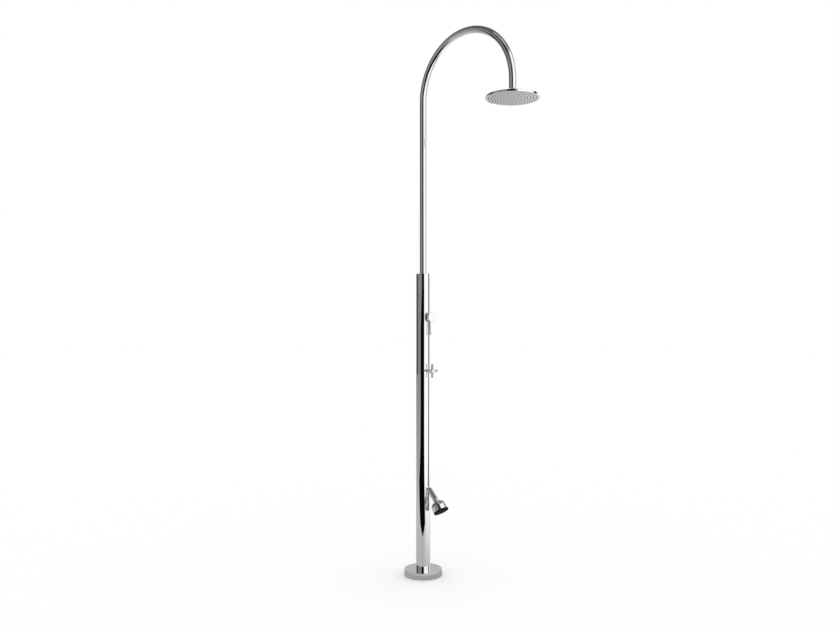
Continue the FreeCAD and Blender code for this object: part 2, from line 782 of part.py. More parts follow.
# ---------------------------------------------------------------- foot spray
def foot_inlet_block():
    back = on_axis(foot_block_back, foot_exit_height)
    front = on_axis(wall_reach(foot_block_diameter / 2), foot_exit_height)
    block = cylinder(foot_block_diameter / 2, back, front)
    stub_start = on_axis(foot_stub_start, foot_exit_height)
    block = block.cut(cylinder(foot_stub_diameter / 2 + seat_gap, stub_start, front))
    port = foot_line_place + V(0, 0, foot_exit_height)
    return block.cut(cylinder(pipe_radius + seat_gap, port, port + UP * foot_block_diameter))


def foot_elbow():
    outer = foot_stub_diameter / 2
    neck = foot_neck_diameter / 2
    passage = foot_passage / 2
    stub = pipe(outer, outer - passage, on_axis(foot_stub_start, foot_exit_height), foot_bend_start)
    turn = bend(outer, foot_bend_start, foot_bend_centre, foot_angle)
    turn = turn.cut(bend(passage, foot_bend_start, foot_bend_centre, foot_angle))
    ball_back = -math.sqrt(foot_ball_radius ** 2 - neck ** 2)
    ball_front = math.sqrt(foot_ball_radius ** 2 - passage ** 2)
    arm = lathe([(-foot_neck_length, passage), (-foot_neck_length, outer),
                 (-foot_swell_back, foot_swell_diameter / 2), (ball_back, neck),
                 (0, foot_ball_radius, ball_front, passage)], foot_ball, foot_axis)
    port = foot_line_place + V(0, 0, foot_exit_height)
    stub = stub.cut(cylinder(pipe_radius - pipe_wall, port, port + UP * foot_stub_diameter))
    return stub.fuse([turn, arm]).removeSplitter()


def foot_seat_ring():
    ring = ball_zone(foot_seat_outer, foot_seat_back, foot_seat_front, foot_ball, bell_axis)
    return ring.cut(Part.makeSphere(foot_socket_radius, foot_ball))


def foot_bell():
    shoulder_centre = bell_radius - bell_shoulder_radius
    collar_run = math.sqrt(bell_shoulder_radius ** 2 - (bell_collar_radius - shoulder_centre) ** 2)
    collar = bell_shoulder_end - collar_run
    slant = bell_shoulder_radius * math.sqrt(0.5)
    spigot_seat = bell_front - foot_spigot_length - foot_spigot_gap
    chamber = bell_chamber_radius
    seat = foot_spigot_radius + seat_gap
    bell = lathe([(-bell_rim_back, 0), (-bell_rim_back, bell_collar_radius, bell_collar_round),
                  (collar, bell_collar_radius),
                  (bell_shoulder_end - slant, shoulder_centre + slant, bell_shoulder_end, bell_radius),
                  (bell_front, bell_radius, bell_edge_round), (bell_front, seat), (spigot_seat, seat),
                  (spigot_seat, chamber), (bell_chamber_start, chamber),
                  (bell_chamber_start, foot_cavity_radius), (-bell_step, foot_cavity_radius),
                  (-bell_step, 0)], foot_ball, bell_axis)
    return bell.cut(Part.makeSphere(foot_socket_radius, foot_ball))


def foot_retainer_ring():
    start = foot_ball + bell_axis * bell_chamber_start
    end = start + bell_axis * retainer_thickness
    return cylinder(bell_chamber_radius - seat_gap, start, end).cut(cylinder(retainer_bore / 2, start, end))


def foot_flow_disc():
    start = foot_ball + bell_axis * flow_disc_start
    end = start + bell_axis * flow_disc_thickness
    disc = cylinder(bell_chamber_radius - seat_gap, start, end)
    for index in range(flow_hole_count):
        turn = 2 * math.pi * index / flow_hole_count
        offset = (SIDE * math.cos(turn) + bell_lift * math.sin(turn)) * (flow_hole_circle / 2)
        disc = disc.cut(cylinder(flow_hole_diameter / 2, start + offset, end + offset))
    return disc


def foot_face_plate():
    spigot_end = bell_front - foot_spigot_length
    inner = foot_spigot_radius - foot_face_wall
    floor = foot_face_front - foot_face_thickness
    return lathe([(spigot_end, inner), (spigot_end, foot_spigot_radius), (bell_front, foot_spigot_radius),
                  (bell_front, bell_radius), (foot_face_front, bell_radius, foot_face_round),
                  (foot_face_front, 0), (floor, 0), (floor, inner)], foot_ball, bell_axis)


def foot_nozzles():
    face = foot_ball + bell_axis * foot_face_front
    base = foot_nozzle_base / 2
    tip = foot_nozzle_tip / 2
    tips = []
    for across, along in ring_places(foot_nozzle_rings, foot_nozzle_pitch, ring_step):
        place = face + SIDE * across + bell_lift * along
        tips.append(Part.makeCone(base, tip, foot_nozzle_height, place, bell_axis))
    return Part.makeCompound(tips)


# ---------------------------------------------------------------- rain head
def arch_end_collar():
    spigot = riser_radius - riser_wall - seat_gap
    bore = head_stud_diameter / 2 + seat_gap
    return lathe([(-collar_spigot_length, bore), (-collar_spigot_length, spigot), (0, spigot),
                  (0, riser_radius, collar_edge_round), (collar_length, riser_radius, collar_edge_round),
                  (collar_length, bore)], arch_end, DOWN)


def head_ball_stud():
    stem = head_stem_diameter / 2
    bore = head_stud_bore / 2
    thread = head_stud_diameter / 2
    top = -head_ball_drop - head_stud_length
    ball_back = -math.sqrt(head_ball_radius ** 2 - stem ** 2)
    ball_front = math.sqrt(head_ball_radius ** 2 - bore ** 2)
    return lathe([(top, bore), (top, thread, head_stud_round), (-head_ball_drop, thread),
                  (-head_ball_drop, stem), (ball_back, stem), (0, head_ball_radius, ball_front, bore)],
                 head_ball, DOWN)


def head_seat_ring():
    ring = ball_zone(head_seat_outer, head_seat_bottom, head_seat_top, head_ball, UP)
    return ring.cut(Part.makeSphere(head_socket_radius, head_ball))


def head_swivel_nut():
    outer = nut_diameter / 2
    mouth = nut_mouth_diameter / 2
    mouth_height = math.sqrt(head_socket_radius ** 2 - mouth ** 2)
    thread = hub_thread_diameter / 2 + seat_gap
    nut = lathe([(nut_bottom, thread), (nut_bottom, outer, nut_bottom_round),
                 (nut_shoulder, outer, nut_shoulder_round), (nut_top, nut_top_diameter / 2, nut_top_round),
                 (nut_top, nut_mouth_top_diameter / 2),
                 (mouth_height, mouth), (nut_step, mouth), (nut_step, head_cavity_radius),
                 (0, head_cavity_radius), (0, thread)], head_ball, UP)
    return nut.cut(Part.makeSphere(head_socket_radius, head_ball))


def head_shell():
    outer = head_diameter / 2
    inner = outer - head_rim_wall
    thread = hub_thread_diameter / 2
    bore = head_washer_bore / 2
    return lathe([(0, inner), (0, outer, head_edge_round / 2), (head_rim_height, outer, head_edge_round),
                  (head_rim_height, head_cone_diameter / 2, head_cone_round), (head_cone_top, thread),
                  (washer_bottom, thread), (washer_bottom, bore), (head_cone_top - head_top_wall, bore),
                  (head_rim_height - head_top_wall, head_cone_diameter / 2, head_cone_inner_round),
                  (head_rim_height - head_top_wall, inner)], head_face, UP)


def head_washer():
    low = head_face + UP * washer_bottom
    high = head_face + UP * washer_top
    return cylinder(hub_thread_diameter / 2, low, high).cut(cylinder(head_washer_bore / 2, low, high))


def head_face_plate():
    radius = head_diameter / 2 - head_rim_wall - seat_gap
    return cylinder(radius, head_face + UP * face_plate_recess, head_face + UP * face_plate_top)


def nozzle_mat():
    radius = head_diameter / 2 - head_rim_wall - nozzle_mat_margin
    return cylinder(radius, head_face + UP * face_plate_top,
                    head_face + UP * (face_plate_top + nozzle_mat_thickness))


def spray_nozzles():
    face = head_face + UP * face_plate_recess
    tips = []
    for across, along in ring_places(nozzle_rings, nozzle_pitch, ring_step):
        place = face + V(across, along, 0)
        tips.append(Part.makeCone(nozzle_base / 2, nozzle_tip / 2, nozzle_height, place, DOWN))
    return Part.makeCompound(tips)


# ---------------------------------------------------------------- every piece, by name
pieces = {
    "floor_plate": floor_plate(),
    "base_cover": base_cover(),
    "column_tube": column_tube(),
    "column_cap": column_cap(),
    "cap_seal_ring": cap_seal_ring(),
    "riser_arch_tube": riser_arch_tube(),
    "riser_socket": riser_socket(),
    "riser_guide_ring": riser_guide_ring(),
    "mixed_water_pipe": mixed_water_pipe(),
    "hot_inlet_socket": inlet_socket(hot_place),
    "cold_inlet_socket": inlet_socket(cold_place),
    "check_valves": check_valves(),
    "inlet_bracket": inlet_bracket(),
    "hot_supply_pipe": supply_pipe(hot_place, supply_bottom, supply_top),
    "cold_pipe_lower": supply_pipe(cold_place, supply_bottom, tee_bottom + joint_depth),
    "cold_pipe_upper": supply_pipe(cold_place, tee_top - joint_depth, supply_top),
    "cold_tee": cold_tee(),
    "foot_feed_pipe": supply_pipe(foot_line_place, foot_line_bottom, foot_line_top),
    "pipe_spacers": pipe_spacers(),
    "mixer_body": mixer_body(),
    "mixer_sleeve": mixer_sleeve(),
    "mixer_cartridge": mixer_cartridge(),
    "mixer_rotor": mixer_rotor(),
    "lever_pivot_pin": lever_pivot_pin(),
    "lever_stem": lever_stem(),
    "mixer_knob": mixer_knob(),
    "pin_lever": pin_lever(),
    "lever_grub_screw": lever_grub_screw(),
    "tap_body": tap_body(),
    "tap_bonnet": tap_bonnet(),
    "tap_fixed_disc": tap_fixed_disc(),
    "tap_moving_disc": tap_moving_disc(),
    "tap_spindle": tap_spindle(),
    "cross_hub": cross_hub(),
    "cross_spokes": cross_spokes(),
    "cross_screw": cross_screw(),
    "cross_cap": cross_cap(),
    "foot_inlet_block": foot_inlet_block(),
    "foot_elbow": foot_elbow(),
    "foot_seat_ring": foot_seat_ring(),
    "foot_bell": foot_bell(),
    "foot_retainer_ring": foot_retainer_ring(),
    "foot_flow_disc": foot_flow_disc(),
    "foot_face_plate": foot_face_plate(),
    "foot_nozzles": foot_nozzles(),
    "arch_end_collar": arch_end_collar(),
    "head_ball_stud": head_ball_stud(),
    "head_seat_ring": head_seat_ring(),
    "head_swivel_nut": head_swivel_nut(),
    "head_washer": head_washer(),
    "head_shell": head_shell(),
    "head_face_plate": head_face_plate(),
    "nozzle_mat": nozzle_mat(),
    "spray_nozzles": spray_nozzles(),
}

os.makedirs("parts", exist_ok=True)
for name, shape in pieces.items():
    shape.exportStep("parts/" + name + ".step")
    print(name, "solids", len(shape.Solids), "valid", shape.isValid(), "volume", round(shape.Volume, 1))
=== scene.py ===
import json
import math

import bmesh
import bpy
from mathutils import Matrix, Vector


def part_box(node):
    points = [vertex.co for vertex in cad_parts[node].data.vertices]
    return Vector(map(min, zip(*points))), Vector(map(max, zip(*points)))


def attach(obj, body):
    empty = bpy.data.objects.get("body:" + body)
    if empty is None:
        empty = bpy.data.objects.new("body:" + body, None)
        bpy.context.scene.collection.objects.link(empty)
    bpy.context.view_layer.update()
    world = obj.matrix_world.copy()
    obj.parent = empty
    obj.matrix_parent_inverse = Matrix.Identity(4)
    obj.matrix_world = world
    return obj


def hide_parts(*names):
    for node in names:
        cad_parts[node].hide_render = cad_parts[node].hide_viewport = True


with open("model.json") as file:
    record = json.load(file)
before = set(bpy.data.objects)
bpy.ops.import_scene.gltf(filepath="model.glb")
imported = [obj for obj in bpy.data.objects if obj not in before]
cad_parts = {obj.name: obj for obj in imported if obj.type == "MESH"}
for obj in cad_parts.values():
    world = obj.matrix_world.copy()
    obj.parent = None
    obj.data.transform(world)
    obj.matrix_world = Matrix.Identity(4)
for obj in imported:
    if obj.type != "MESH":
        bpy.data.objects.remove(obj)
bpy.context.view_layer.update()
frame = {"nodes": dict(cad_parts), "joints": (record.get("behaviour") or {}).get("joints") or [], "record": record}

# An outdoor shower post in polished chrome on a plain pale floor. Lengths are in millimetres
# and turned into metres by MM; angles are in degrees. The column's axis is x = y = 0 and the
# arch, the controls and the foot spray face -Y.

MM = 0.001
ORIGIN = Vector((0, 0, 0))
UP = Vector((0, 0, 1))
DOWN = Vector((0, 0, -1))
FRONT = Vector((0, -1, 0))
SIDE = Vector((1, 0, 0))

# ---------------------------------------------------------------- camera, from the photograph
PHOTO_WIDTH = 840
PHOTO_HEIGHT = 630
FOCAL_PIXELS = 826.6          # focal length in the photograph's pixels
HORIZON_ROW = 323.6           # the photograph's row at the camera's height
CAMERA_DISTANCE = 3543.0
CAMERA_HEIGHT = 1077.0
CAMERA_TURN = -44.9           # azimuth of the view, 0 looks along +Y
COLUMN_OFFSET = 13.5          # the column stands this far right of the view's axis
SENSOR_WIDTH = 36.0
CLIP_END = 100.0              # metres

turn = math.radians(CAMERA_TURN)
view_right = Vector((math.cos(turn), math.sin(turn), 0))
view_back = Vector((math.sin(turn), -math.cos(turn), 0))


def make_camera():
    data = bpy.data.cameras.new("camera")
    data.sensor_width = SENSOR_WIDTH
    data.lens = FOCAL_PIXELS / PHOTO_WIDTH * SENSOR_WIDTH
    data.shift_y = (HORIZON_ROW - PHOTO_HEIGHT / 2) / PHOTO_WIDTH
    data.clip_end = CLIP_END
    camera = bpy.data.objects.new("camera", data)
    bpy.context.scene.collection.objects.link(camera)
    place = view_back * CAMERA_DISTANCE - view_right * COLUMN_OFFSET + UP * CAMERA_HEIGHT
    axes = Matrix((view_right, UP, view_back)).transposed()
    camera.matrix_world = Matrix.Translation(place * MM) @ axes.to_4x4()
    bpy.context.scene.camera = camera


make_camera()


# ---------------------------------------------------------------- sizes read from the frame
def low_corner(node):
    return Vector(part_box(node)[0]) / MM


def high_corner(node):
    return Vector(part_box(node)[1]) / MM


def joint_place(name):
    joint = next(entry for entry in frame["joints"] if entry["name"] == name)
    return Vector(joint["pos_m"]) / MM


# ---------------------------------------------------------------- mesh helpers
SHARP_ANGLE = 30.0
FLAT_WEIGHT = 100             # how far large faces hold the normals of their edges
ARC_STEP = 9.0                # degrees of arc between two points of an outline
ON_AXIS = 1e-6                # millimetres from the axis under which a ring is one point
SAME_PLACE = 1e-7             # metres between points that are merged
SEAT_GAP = 0.05               # between two pieces where one sits in the other

# segments round a turned piece or tube, by its size
DISC_SEGMENTS = 256
COLUMN_SEGMENTS = 192
BELL_SEGMENTS = 128
TUBE_SEGMENTS = 96
FITTING_SEGMENTS = 64
ROD_SEGMENTS = 48
NOZZLE_SEGMENTS = 14


def arc_points(start, centre, end_turn):
    """Points of an arc from start about centre, through end_turn radians, start left out."""
    steps = max(2, math.ceil(abs(math.degrees(end_turn)) / ARC_STEP))
    spoke = start - centre
    points = []
    for step in range(1, steps + 1):
        angle = end_turn * step / steps
        points.append(centre + Vector((spoke.x * math.cos(angle) - spoke.y * math.sin(angle),
                                       spoke.x * math.sin(angle) + spoke.y * math.cos(angle))))
    return points


def rounded(outline):
    """Corner points (along, radius) or (along, radius, rounding) as a dense closed outline."""
    corners = [Vector(entry[:2]) for entry in outline]
    points = []
    for index, entry in enumerate(outline):
        corner = corners[index]
        if len(entry) == 2:
            points.append(corner)
            continue
        before = (corners[index - 1] - corner).normalized()
        after = (corners[(index + 1) % len(corners)] - corner).normalized()
        half = before.angle(after) / 2
        reach = entry[2] / math.tan(half)
        centre = corner + (before + after).normalized() * (entry[2] / math.sin(half))
        start = corner + before * reach
        side = 1 if (start - centre).cross(corner + after * reach - centre) > 0 else -1
        points.append(start)
        points.extend(arc_points(start, centre, side * (math.pi - 2 * half)))
    return points


def finish_mesh(name, mesh, slot, body, nodes):
    """Smooths the mesh up to its sharp edges, gives it its finish and puts it on its body."""
    bmesh.ops.remove_doubles(mesh, verts=mesh.verts, dist=SAME_PLACE)
    bmesh.ops.recalc_face_normals(mesh, faces=mesh.faces)
    for face in mesh.faces:
        face.smooth = True
    for edge in mesh.edges:
        edge.smooth = edge.is_manifold and edge.calc_face_angle(0) < math.radians(SHARP_ANGLE)
    data = bpy.data.meshes.new(name)
    mesh.to_mesh(data)
    mesh.free()
    data.materials.append(materials[slot])
    piece = bpy.data.objects.new(name, data)
    bpy.context.scene.collection.objects.link(piece)
    flats = piece.modifiers.new("flats_stay_flat", "WEIGHTED_NORMAL")
    flats.keep_sharp = True
    flats.weight = FLAT_WEIGHT
    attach(piece, body)
    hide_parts(*nodes)


def add_turned(mesh, outline, origin, direction, segments):
    """Adds a turned solid whose closed outline is (along, radius) in millimetres."""
    turn_to = UP.rotation_difference(direction)
    rings = []
    for along, radius in rounded(outline):
        if radius < ON_AXIS:
            ring = [mesh.verts.new((origin + turn_to @ Vector((0, 0, along))) * MM)] * segments
        else:
            ring = []
            for index in range(segments):
                angle = 2 * math.pi * index / segments
                spot = Vector((radius * math.cos(angle), radius * math.sin(angle), along))
                ring.append(mesh.verts.new((origin + turn_to @ spot) * MM))
        rings.append(ring)
    for index, ring in enumerate(rings):
        other = rings[(index + 1) % len(rings)]
        for step in range(segments):
            after = (step + 1) % segments
            corners = []
            for vert in (ring[step], ring[after], other[after], other[step]):
                if vert not in corners:
                    corners.append(vert)
            if len(corners) > 2:
                mesh.faces.new(corners)


def add_swept(mesh, stations, segments):
    """Adds a closed bar through stations of (place, direction, radius) in the plane x = 0."""
    rings = []
    for place, direction, radius in stations:
        across = direction.cross(SIDE)
        ring = []
        for index in range(segments):
            angle = 2 * math.pi * index / segments
            spot = place + (SIDE * math.cos(angle) + across * math.sin(angle)) * radius
            ring.append(mesh.verts.new(spot * MM))
        rings.append(ring)
    for ring, other in zip(rings, rings[1:]):
        for step in range(segments):
            after = (step + 1) % segments
            mesh.faces.new((ring[step], ring[after], other[after], other[step]))
    mesh.faces.new(rings[0])
    mesh.faces.new(rings[-1])


def turned_piece(name, slot, body, nodes, outline, origin, direction, segments):
    mesh = bmesh.new()
    add_turned(mesh, outline, origin, direction, segments)
    finish_mesh(name, mesh, slot, body, nodes)


# ---------------------------------------------------------------- materials
GRAIN_DETAIL = 4
GRAIN_DEPTH = 0.0002          # metres, the height of the bump that a grain makes
GRAIN_SPREAD = 0.06           # how far a grain takes the roughness down, and up
WORN_SPREAD = 0.08            # how far up on machined metal


def neutral(grey):
    return (grey, grey, grey)


def node_material(name):
    material = bpy.data.materials.new(name)
    material.use_nodes = True
    tree = material.node_tree
    return material, tree, tree.nodes["Principled BSDF"]


def add_noise(tree, scale, detail, stretch=(1, 1, 1)):
    """A noise pattern in the object's own space, in cycles per metre."""
    place = tree.nodes.new("ShaderNodeTexCoord")
    mapping = tree.nodes.new("ShaderNodeMapping")
    mapping.inputs["Scale"].default_value = stretch
    noise = tree.nodes.new("ShaderNodeTexNoise")
    noise.inputs["Scale"].default_value = scale
    noise.inputs["Detail"].default_value = detail
    tree.links.new(place.outputs["Object"], mapping.inputs["Vector"])
    tree.links.new(mapping.outputs["Vector"], noise.inputs["Vector"])
    return noise.outputs["Fac"]


def spread(tree, pattern, low, high, socket):
    """Drives a number of the shader by a pattern, from low to high."""
    span = tree.nodes.new("ShaderNodeMapRange")
    span.inputs["To Min"].default_value = low
    span.inputs["To Max"].default_value = high
    tree.links.new(pattern, span.inputs["Value"])
    tree.links.new(span.outputs["Result"], socket)


def tint(tree, pattern, dark, light, socket):
    """Drives a colour of the shader by a pattern, from dark to light."""
    mix = tree.nodes.new("ShaderNodeMix")
    mix.data_type = "RGBA"
    mix.inputs["A"].default_value = (*dark, 1)
    mix.inputs["B"].default_value = (*light, 1)
    tree.links.new(pattern, mix.inputs["Factor"])
    tree.links.new(mix.outputs["Result"], socket)


def bump(tree, shader, pattern, strength):
    node = tree.nodes.new("ShaderNodeBump")
    node.inputs["Strength"].default_value = strength
    node.inputs["Distance"].default_value = GRAIN_DEPTH
    tree.links.new(pattern, node.inputs["Height"])
    tree.links.new(node.outputs["Normal"], shader.inputs["Normal"])


def chrome():
    material, tree, shader = node_material("chrome")
    shader.inputs["Metallic"].default_value = 1.0
    cloudy = add_noise(tree, scale=9, detail=2)
    tint(tree, cloudy, (0.85, 0.86, 0.87), (0.90, 0.905, 0.91), shader.inputs["Base Color"])
    wiped = add_noise(tree, scale=40, detail=GRAIN_DETAIL)
    spread(tree, wiped, low=0.008, high=0.03, socket=shader.inputs["Roughness"])
    return material


def satin_steel():
    material, tree, shader = node_material("satin_steel")
    shader.inputs["Metallic"].default_value = 1.0
    grain = add_noise(tree, scale=900, detail=3, stretch=(1, 1, 0.05))
    tint(tree, grain, neutral(0.42), neutral(0.53), shader.inputs["Base Color"])
    spread(tree, grain, low=0.16, high=0.28, socket=shader.inputs["Roughness"])
    bump(tree, shader, grain, strength=0.08)
    return material


def machined(name, dark, light, roughness):
    """Bare metal that was turned or milled."""
    material, tree, shader = node_material(name)
    shader.inputs["Metallic"].default_value = 1.0
    grain = add_noise(tree, scale=500, detail=GRAIN_DETAIL)
    tint(tree, grain, dark, light, shader.inputs["Base Color"])
    spread(tree, grain, roughness - GRAIN_SPREAD, roughness + WORN_SPREAD, shader.inputs["Roughness"])
    bump(tree, shader, grain, strength=0.1)
    return material


def moulded(name, dark, light, roughness, grain_scale, gloss=0.4):
    """Plastic, rubber or ceramic with a fine grain; gloss is its specular level."""
    material, tree, shader = node_material(name)
    shader.inputs["Specular IOR Level"].default_value = gloss
    grain = add_noise(tree, grain_scale, GRAIN_DETAIL)
    tint(tree, grain, dark, light, shader.inputs["Base Color"])
    spread(tree, grain, roughness - GRAIN_SPREAD, roughness + GRAIN_SPREAD, shader.inputs["Roughness"])
    bump(tree, shader, grain, strength=0.15)
    return material


materials = {
    "chrome": chrome(),
    "satin_steel": satin_steel(),
    "steel_screw": machined("steel_screw", neutral(0.42), neutral(0.55), roughness=0.32),
    "raw_brass": machined("raw_brass", (0.62, 0.48, 0.26), (0.78, 0.63, 0.36), roughness=0.34),
    "white_plastic": moulded("white_plastic", (0.78, 0.78, 0.76), (0.88, 0.88, 0.86),
                             roughness=0.45, grain_scale=700),
    "black_plastic": moulded("black_plastic", neutral(0.005), neutral(0.010),
                             roughness=0.5, grain_scale=900, gloss=0.04),
    "black_nozzle": moulded("black_nozzle", neutral(0.010), neutral(0.02),
                            roughness=0.55, grain_scale=900, gloss=0.06),
    "grey_silicone": moulded("grey_silicone", neutral(0.04), neutral(0.07), roughness=0.55, grain_scale=900),
    "seal_rubber": moulded("seal_rubber", neutral(0.02), neutral(0.04), roughness=0.6, grain_scale=700),
    "ceramic": moulded("ceramic", (0.84, 0.84, 0.82), (0.90, 0.90, 0.88), roughness=0.2, grain_scale=400),
}

# every node takes its slot from the record; the pieces below that replace a node set their own
for subpart in frame["record"]["subparts"]:
    node = frame["nodes"][subpart["node"]]
    for holder in node.material_slots:
        holder.material = materials[subpart["material_slot"]]


# ---------------------------------------------------------------- base
base_radius = (high_corner("base_cover") - low_corner("base_cover")).x / 2
base_top = high_corner("base_cover").z
BASE_WALL = 2.0
BASE_FOOT_ROUND = 0.4
BASE_EDGE_ROUND = 0.6
BASE_CEILING_ROUND = 1.0
COVER_GAP = 0.1               # between the cover and the column


def base_cover():
    inner = base_radius - BASE_WALL
    ceiling = base_top - BASE_WALL
    neck = column_radius + COVER_GAP
    turned_piece("round_base_cover", "chrome", "post", ["base_cover"],
                 [(0, inner), (0, base_radius, BASE_FOOT_ROUND), (base_top, base_radius, BASE_EDGE_ROUND),
                  (base_top, neck), (ceiling, neck), (ceiling, inner, BASE_CEILING_ROUND)],
                 ORIGIN, UP, COLUMN_SEGMENTS)


# ---------------------------------------------------------------- column
column_radius = (high_corner("column_tube") - low_corner("column_tube")).x / 2
column_foot = low_corner("column_tube").z
column_shoulder = high_corner("column_tube").z
column_top = high_corner("column_cap").z
COLUMN_WALL = 2.0
JOINT_BEVEL = 0.25
CAP_EDGE_ROUND = 0.8
CAP_PLUG_LENGTH = 18.0


def column():
    inner = column_radius - COLUMN_WALL
    turned_piece("column_shell", "chrome", "post", ["column_tube"],
                 [(column_foot, inner), (column_foot, column_radius),
                  (column_shoulder - JOINT_BEVEL, column_radius),
                  (column_shoulder, column_radius - JOINT_BEVEL), (column_shoulder, inner)],
                 ORIGIN, UP, COLUMN_SEGMENTS)


def column_cap():
    plug = column_radius - COLUMN_WALL - SEAT_GAP
    plug_bottom = column_shoulder - CAP_PLUG_LENGTH
    bore = riser_radius + SEAT_GAP
    turned_piece("column_top_ring", "chrome", "post", ["column_cap"],
                 [(plug_bottom, bore), (plug_bottom, plug),
                  (column_shoulder, plug), (column_shoulder, column_radius - JOINT_BEVEL),
                  (column_shoulder + JOINT_BEVEL, column_radius), (column_top, column_radius, CAP_EDGE_ROUND),
                  (column_top, bore)], ORIGIN, UP, COLUMN_SEGMENTS)


# ---------------------------------------------------------------- riser and arch
riser_radius = (high_corner("riser_arch_tube") - low_corner("riser_arch_tube")).x / 2
riser_bottom = low_corner("riser_arch_tube").z
COLLAR_LENGTH = 17.0
COLLAR_SPIGOT = 12.0          # the part of the collar that goes up into the tube
COLLAR_EDGE_ROUND = 0.6
COLLAR_BORE_RADIUS = 6.05
ARCH_STEPS = 120
arch_end = Vector((0, joint_place("head_tilt").y, high_corner("arch_end_collar").z - COLLAR_SPIGOT))
arch_radius = -arch_end.y / 2
spring_height = high_corner("riser_arch_tube").z - arch_radius - riser_radius


def riser_arch():
    """The riser and the half-circle arch, one bent tube that is bevelled at the collar's joint."""
    stations = [(Vector((0, 0, riser_bottom)), UP, riser_radius)]
    for step in range(ARCH_STEPS + 1):
        angle = math.pi * step / ARCH_STEPS
        along = arch_radius * math.cos(angle) - arch_radius
        height = spring_height + arch_radius * math.sin(angle)
        place = Vector((0, along, height))
        direction = Vector((0, -math.sin(angle), math.cos(angle)))
        stations.append((place, direction, riser_radius))
    stations.append((arch_end + UP * JOINT_BEVEL, DOWN, riser_radius))
    stations.append((arch_end, DOWN, riser_radius - JOINT_BEVEL))
    mesh = bmesh.new()
    add_swept(mesh, stations, TUBE_SEGMENTS)
    finish_mesh("riser_and_arch", mesh, "chrome", "post", ["riser_arch_tube"])


def arch_collar():
    turned_piece("arch_collar", "chrome", "post", ["arch_end_collar"],
                 [(0, COLLAR_BORE_RADIUS), (0, riser_radius, COLLAR_EDGE_ROUND),
                  (COLLAR_LENGTH, riser_radius, COLLAR_EDGE_ROUND), (COLLAR_LENGTH, COLLAR_BORE_RADIUS)],
                 arch_end, DOWN, TUBE_SEGMENTS)


# ---------------------------------------------------------------- rain head
head_ball = joint_place("head_tilt")
head_radius = (high_corner("head_shell") - low_corner("head_shell")).x / 2
head_face = Vector((0, head_ball.y, low_corner("head_shell").z))
HEAD_BALL_RADIUS = 8.5
HEAD_STEM_RADIUS = 4.5
HEAD_STEM_LENGTH = 14.0
BALL_STEPS = 24
HEAD_RIM_HEIGHT = 8.5
HEAD_RIM_WALL = 1.6
HEAD_RIM_ROUND = 1.5
HEAD_CONE_RADIUS = 22.0
HEAD_CONE_RISE = 1.5
HEAD_CONE_ROUND = 20.0
HEAD_HUB_RADIUS = 10.9
HEAD_BORE_RADIUS = 4.0
HEAD_HUB_HEIGHT = 13.5
HEAD_TOP_WALL = 2.0
HEAD_FACE_RECESS = 0.5
HEAD_FACE_THICKNESS = 1.5
HEAD_FACE_ROUND = 0.3
# the nut's heights are from the ball's centre
NUT_BOTTOM = -13.8
NUT_SHOULDER = 5.0
NUT_TOP = 9.0
NUT_RADIUS = 14.0
NUT_TOP_RADIUS = 11.5
NUT_BOTTOM_ROUND = 0.8
NUT_SHOULDER_ROUND = 2.0
NUT_TOP_ROUND = 0.6
NUT_MOUTH_RADIUS = 7.9
NUT_MOUTH_FLARE = 0.9         # how much narrower the mouth is below its rim
NUT_SEAT_DEPTH = 3.0
NUT_SEAT_RADIUS = 9.0
NOZZLE_RINGS = 8
NOZZLE_PITCH = 11.6
NOZZLE_RADIUS = 1.6
NOZZLE_TIP_RADIUS = 1.0
NOZZLE_BORE_RADIUS = 0.55
NOZZLE_HEIGHT = 1.5
RING_STEP = 6                 # how many more nozzles each ring has than the one inside it
# a nozzle's outline, in shares of its height, base and tip
NOZZLE_ROOT_END = 0.25
NOZZLE_ROOT_WIDTH = 0.92
NOZZLE_LIP_START = 0.8
NOZZLE_LIP_WIDTH = 1.06
NOZZLE_END_WIDTH = 0.9
NOZZLE_BORE_FLOOR = 0.35


def ball_outline(radius, stem, back):
    """A stem that ends in a ball whose centre is at 0 along the axis."""
    outline = [(back, 0), (back, stem)]
    start = math.pi - math.asin(stem / radius)
    for step in range(BALL_STEPS + 1):
        angle = start * (1 - step / BALL_STEPS)
        outline.append((radius * math.cos(angle), radius * math.sin(angle)))
    return outline


def head_stud():
    turned_piece("head_ball_and_stem", "chrome", "post", ["head_ball_stud"],
                 ball_outline(HEAD_BALL_RADIUS, HEAD_STEM_RADIUS, -HEAD_STEM_LENGTH),
                 head_ball, DOWN, FITTING_SEGMENTS)


def head_nut():
    thread = HEAD_HUB_RADIUS + SEAT_GAP
    turned_piece("head_ball_nut", "chrome", "rain_head", ["head_swivel_nut"],
                 [(NUT_BOTTOM, thread), (NUT_BOTTOM, NUT_RADIUS, NUT_BOTTOM_ROUND),
                  (NUT_SHOULDER, NUT_RADIUS, NUT_SHOULDER_ROUND), (NUT_TOP, NUT_TOP_RADIUS, NUT_TOP_ROUND),
                  (NUT_TOP, NUT_MOUTH_RADIUS), (NUT_SHOULDER, NUT_MOUTH_RADIUS - NUT_MOUTH_FLARE),
                  (NUT_SHOULDER - NUT_SEAT_DEPTH, NUT_SEAT_RADIUS), (0, thread)],
                 head_ball, UP, TUBE_SEGMENTS)


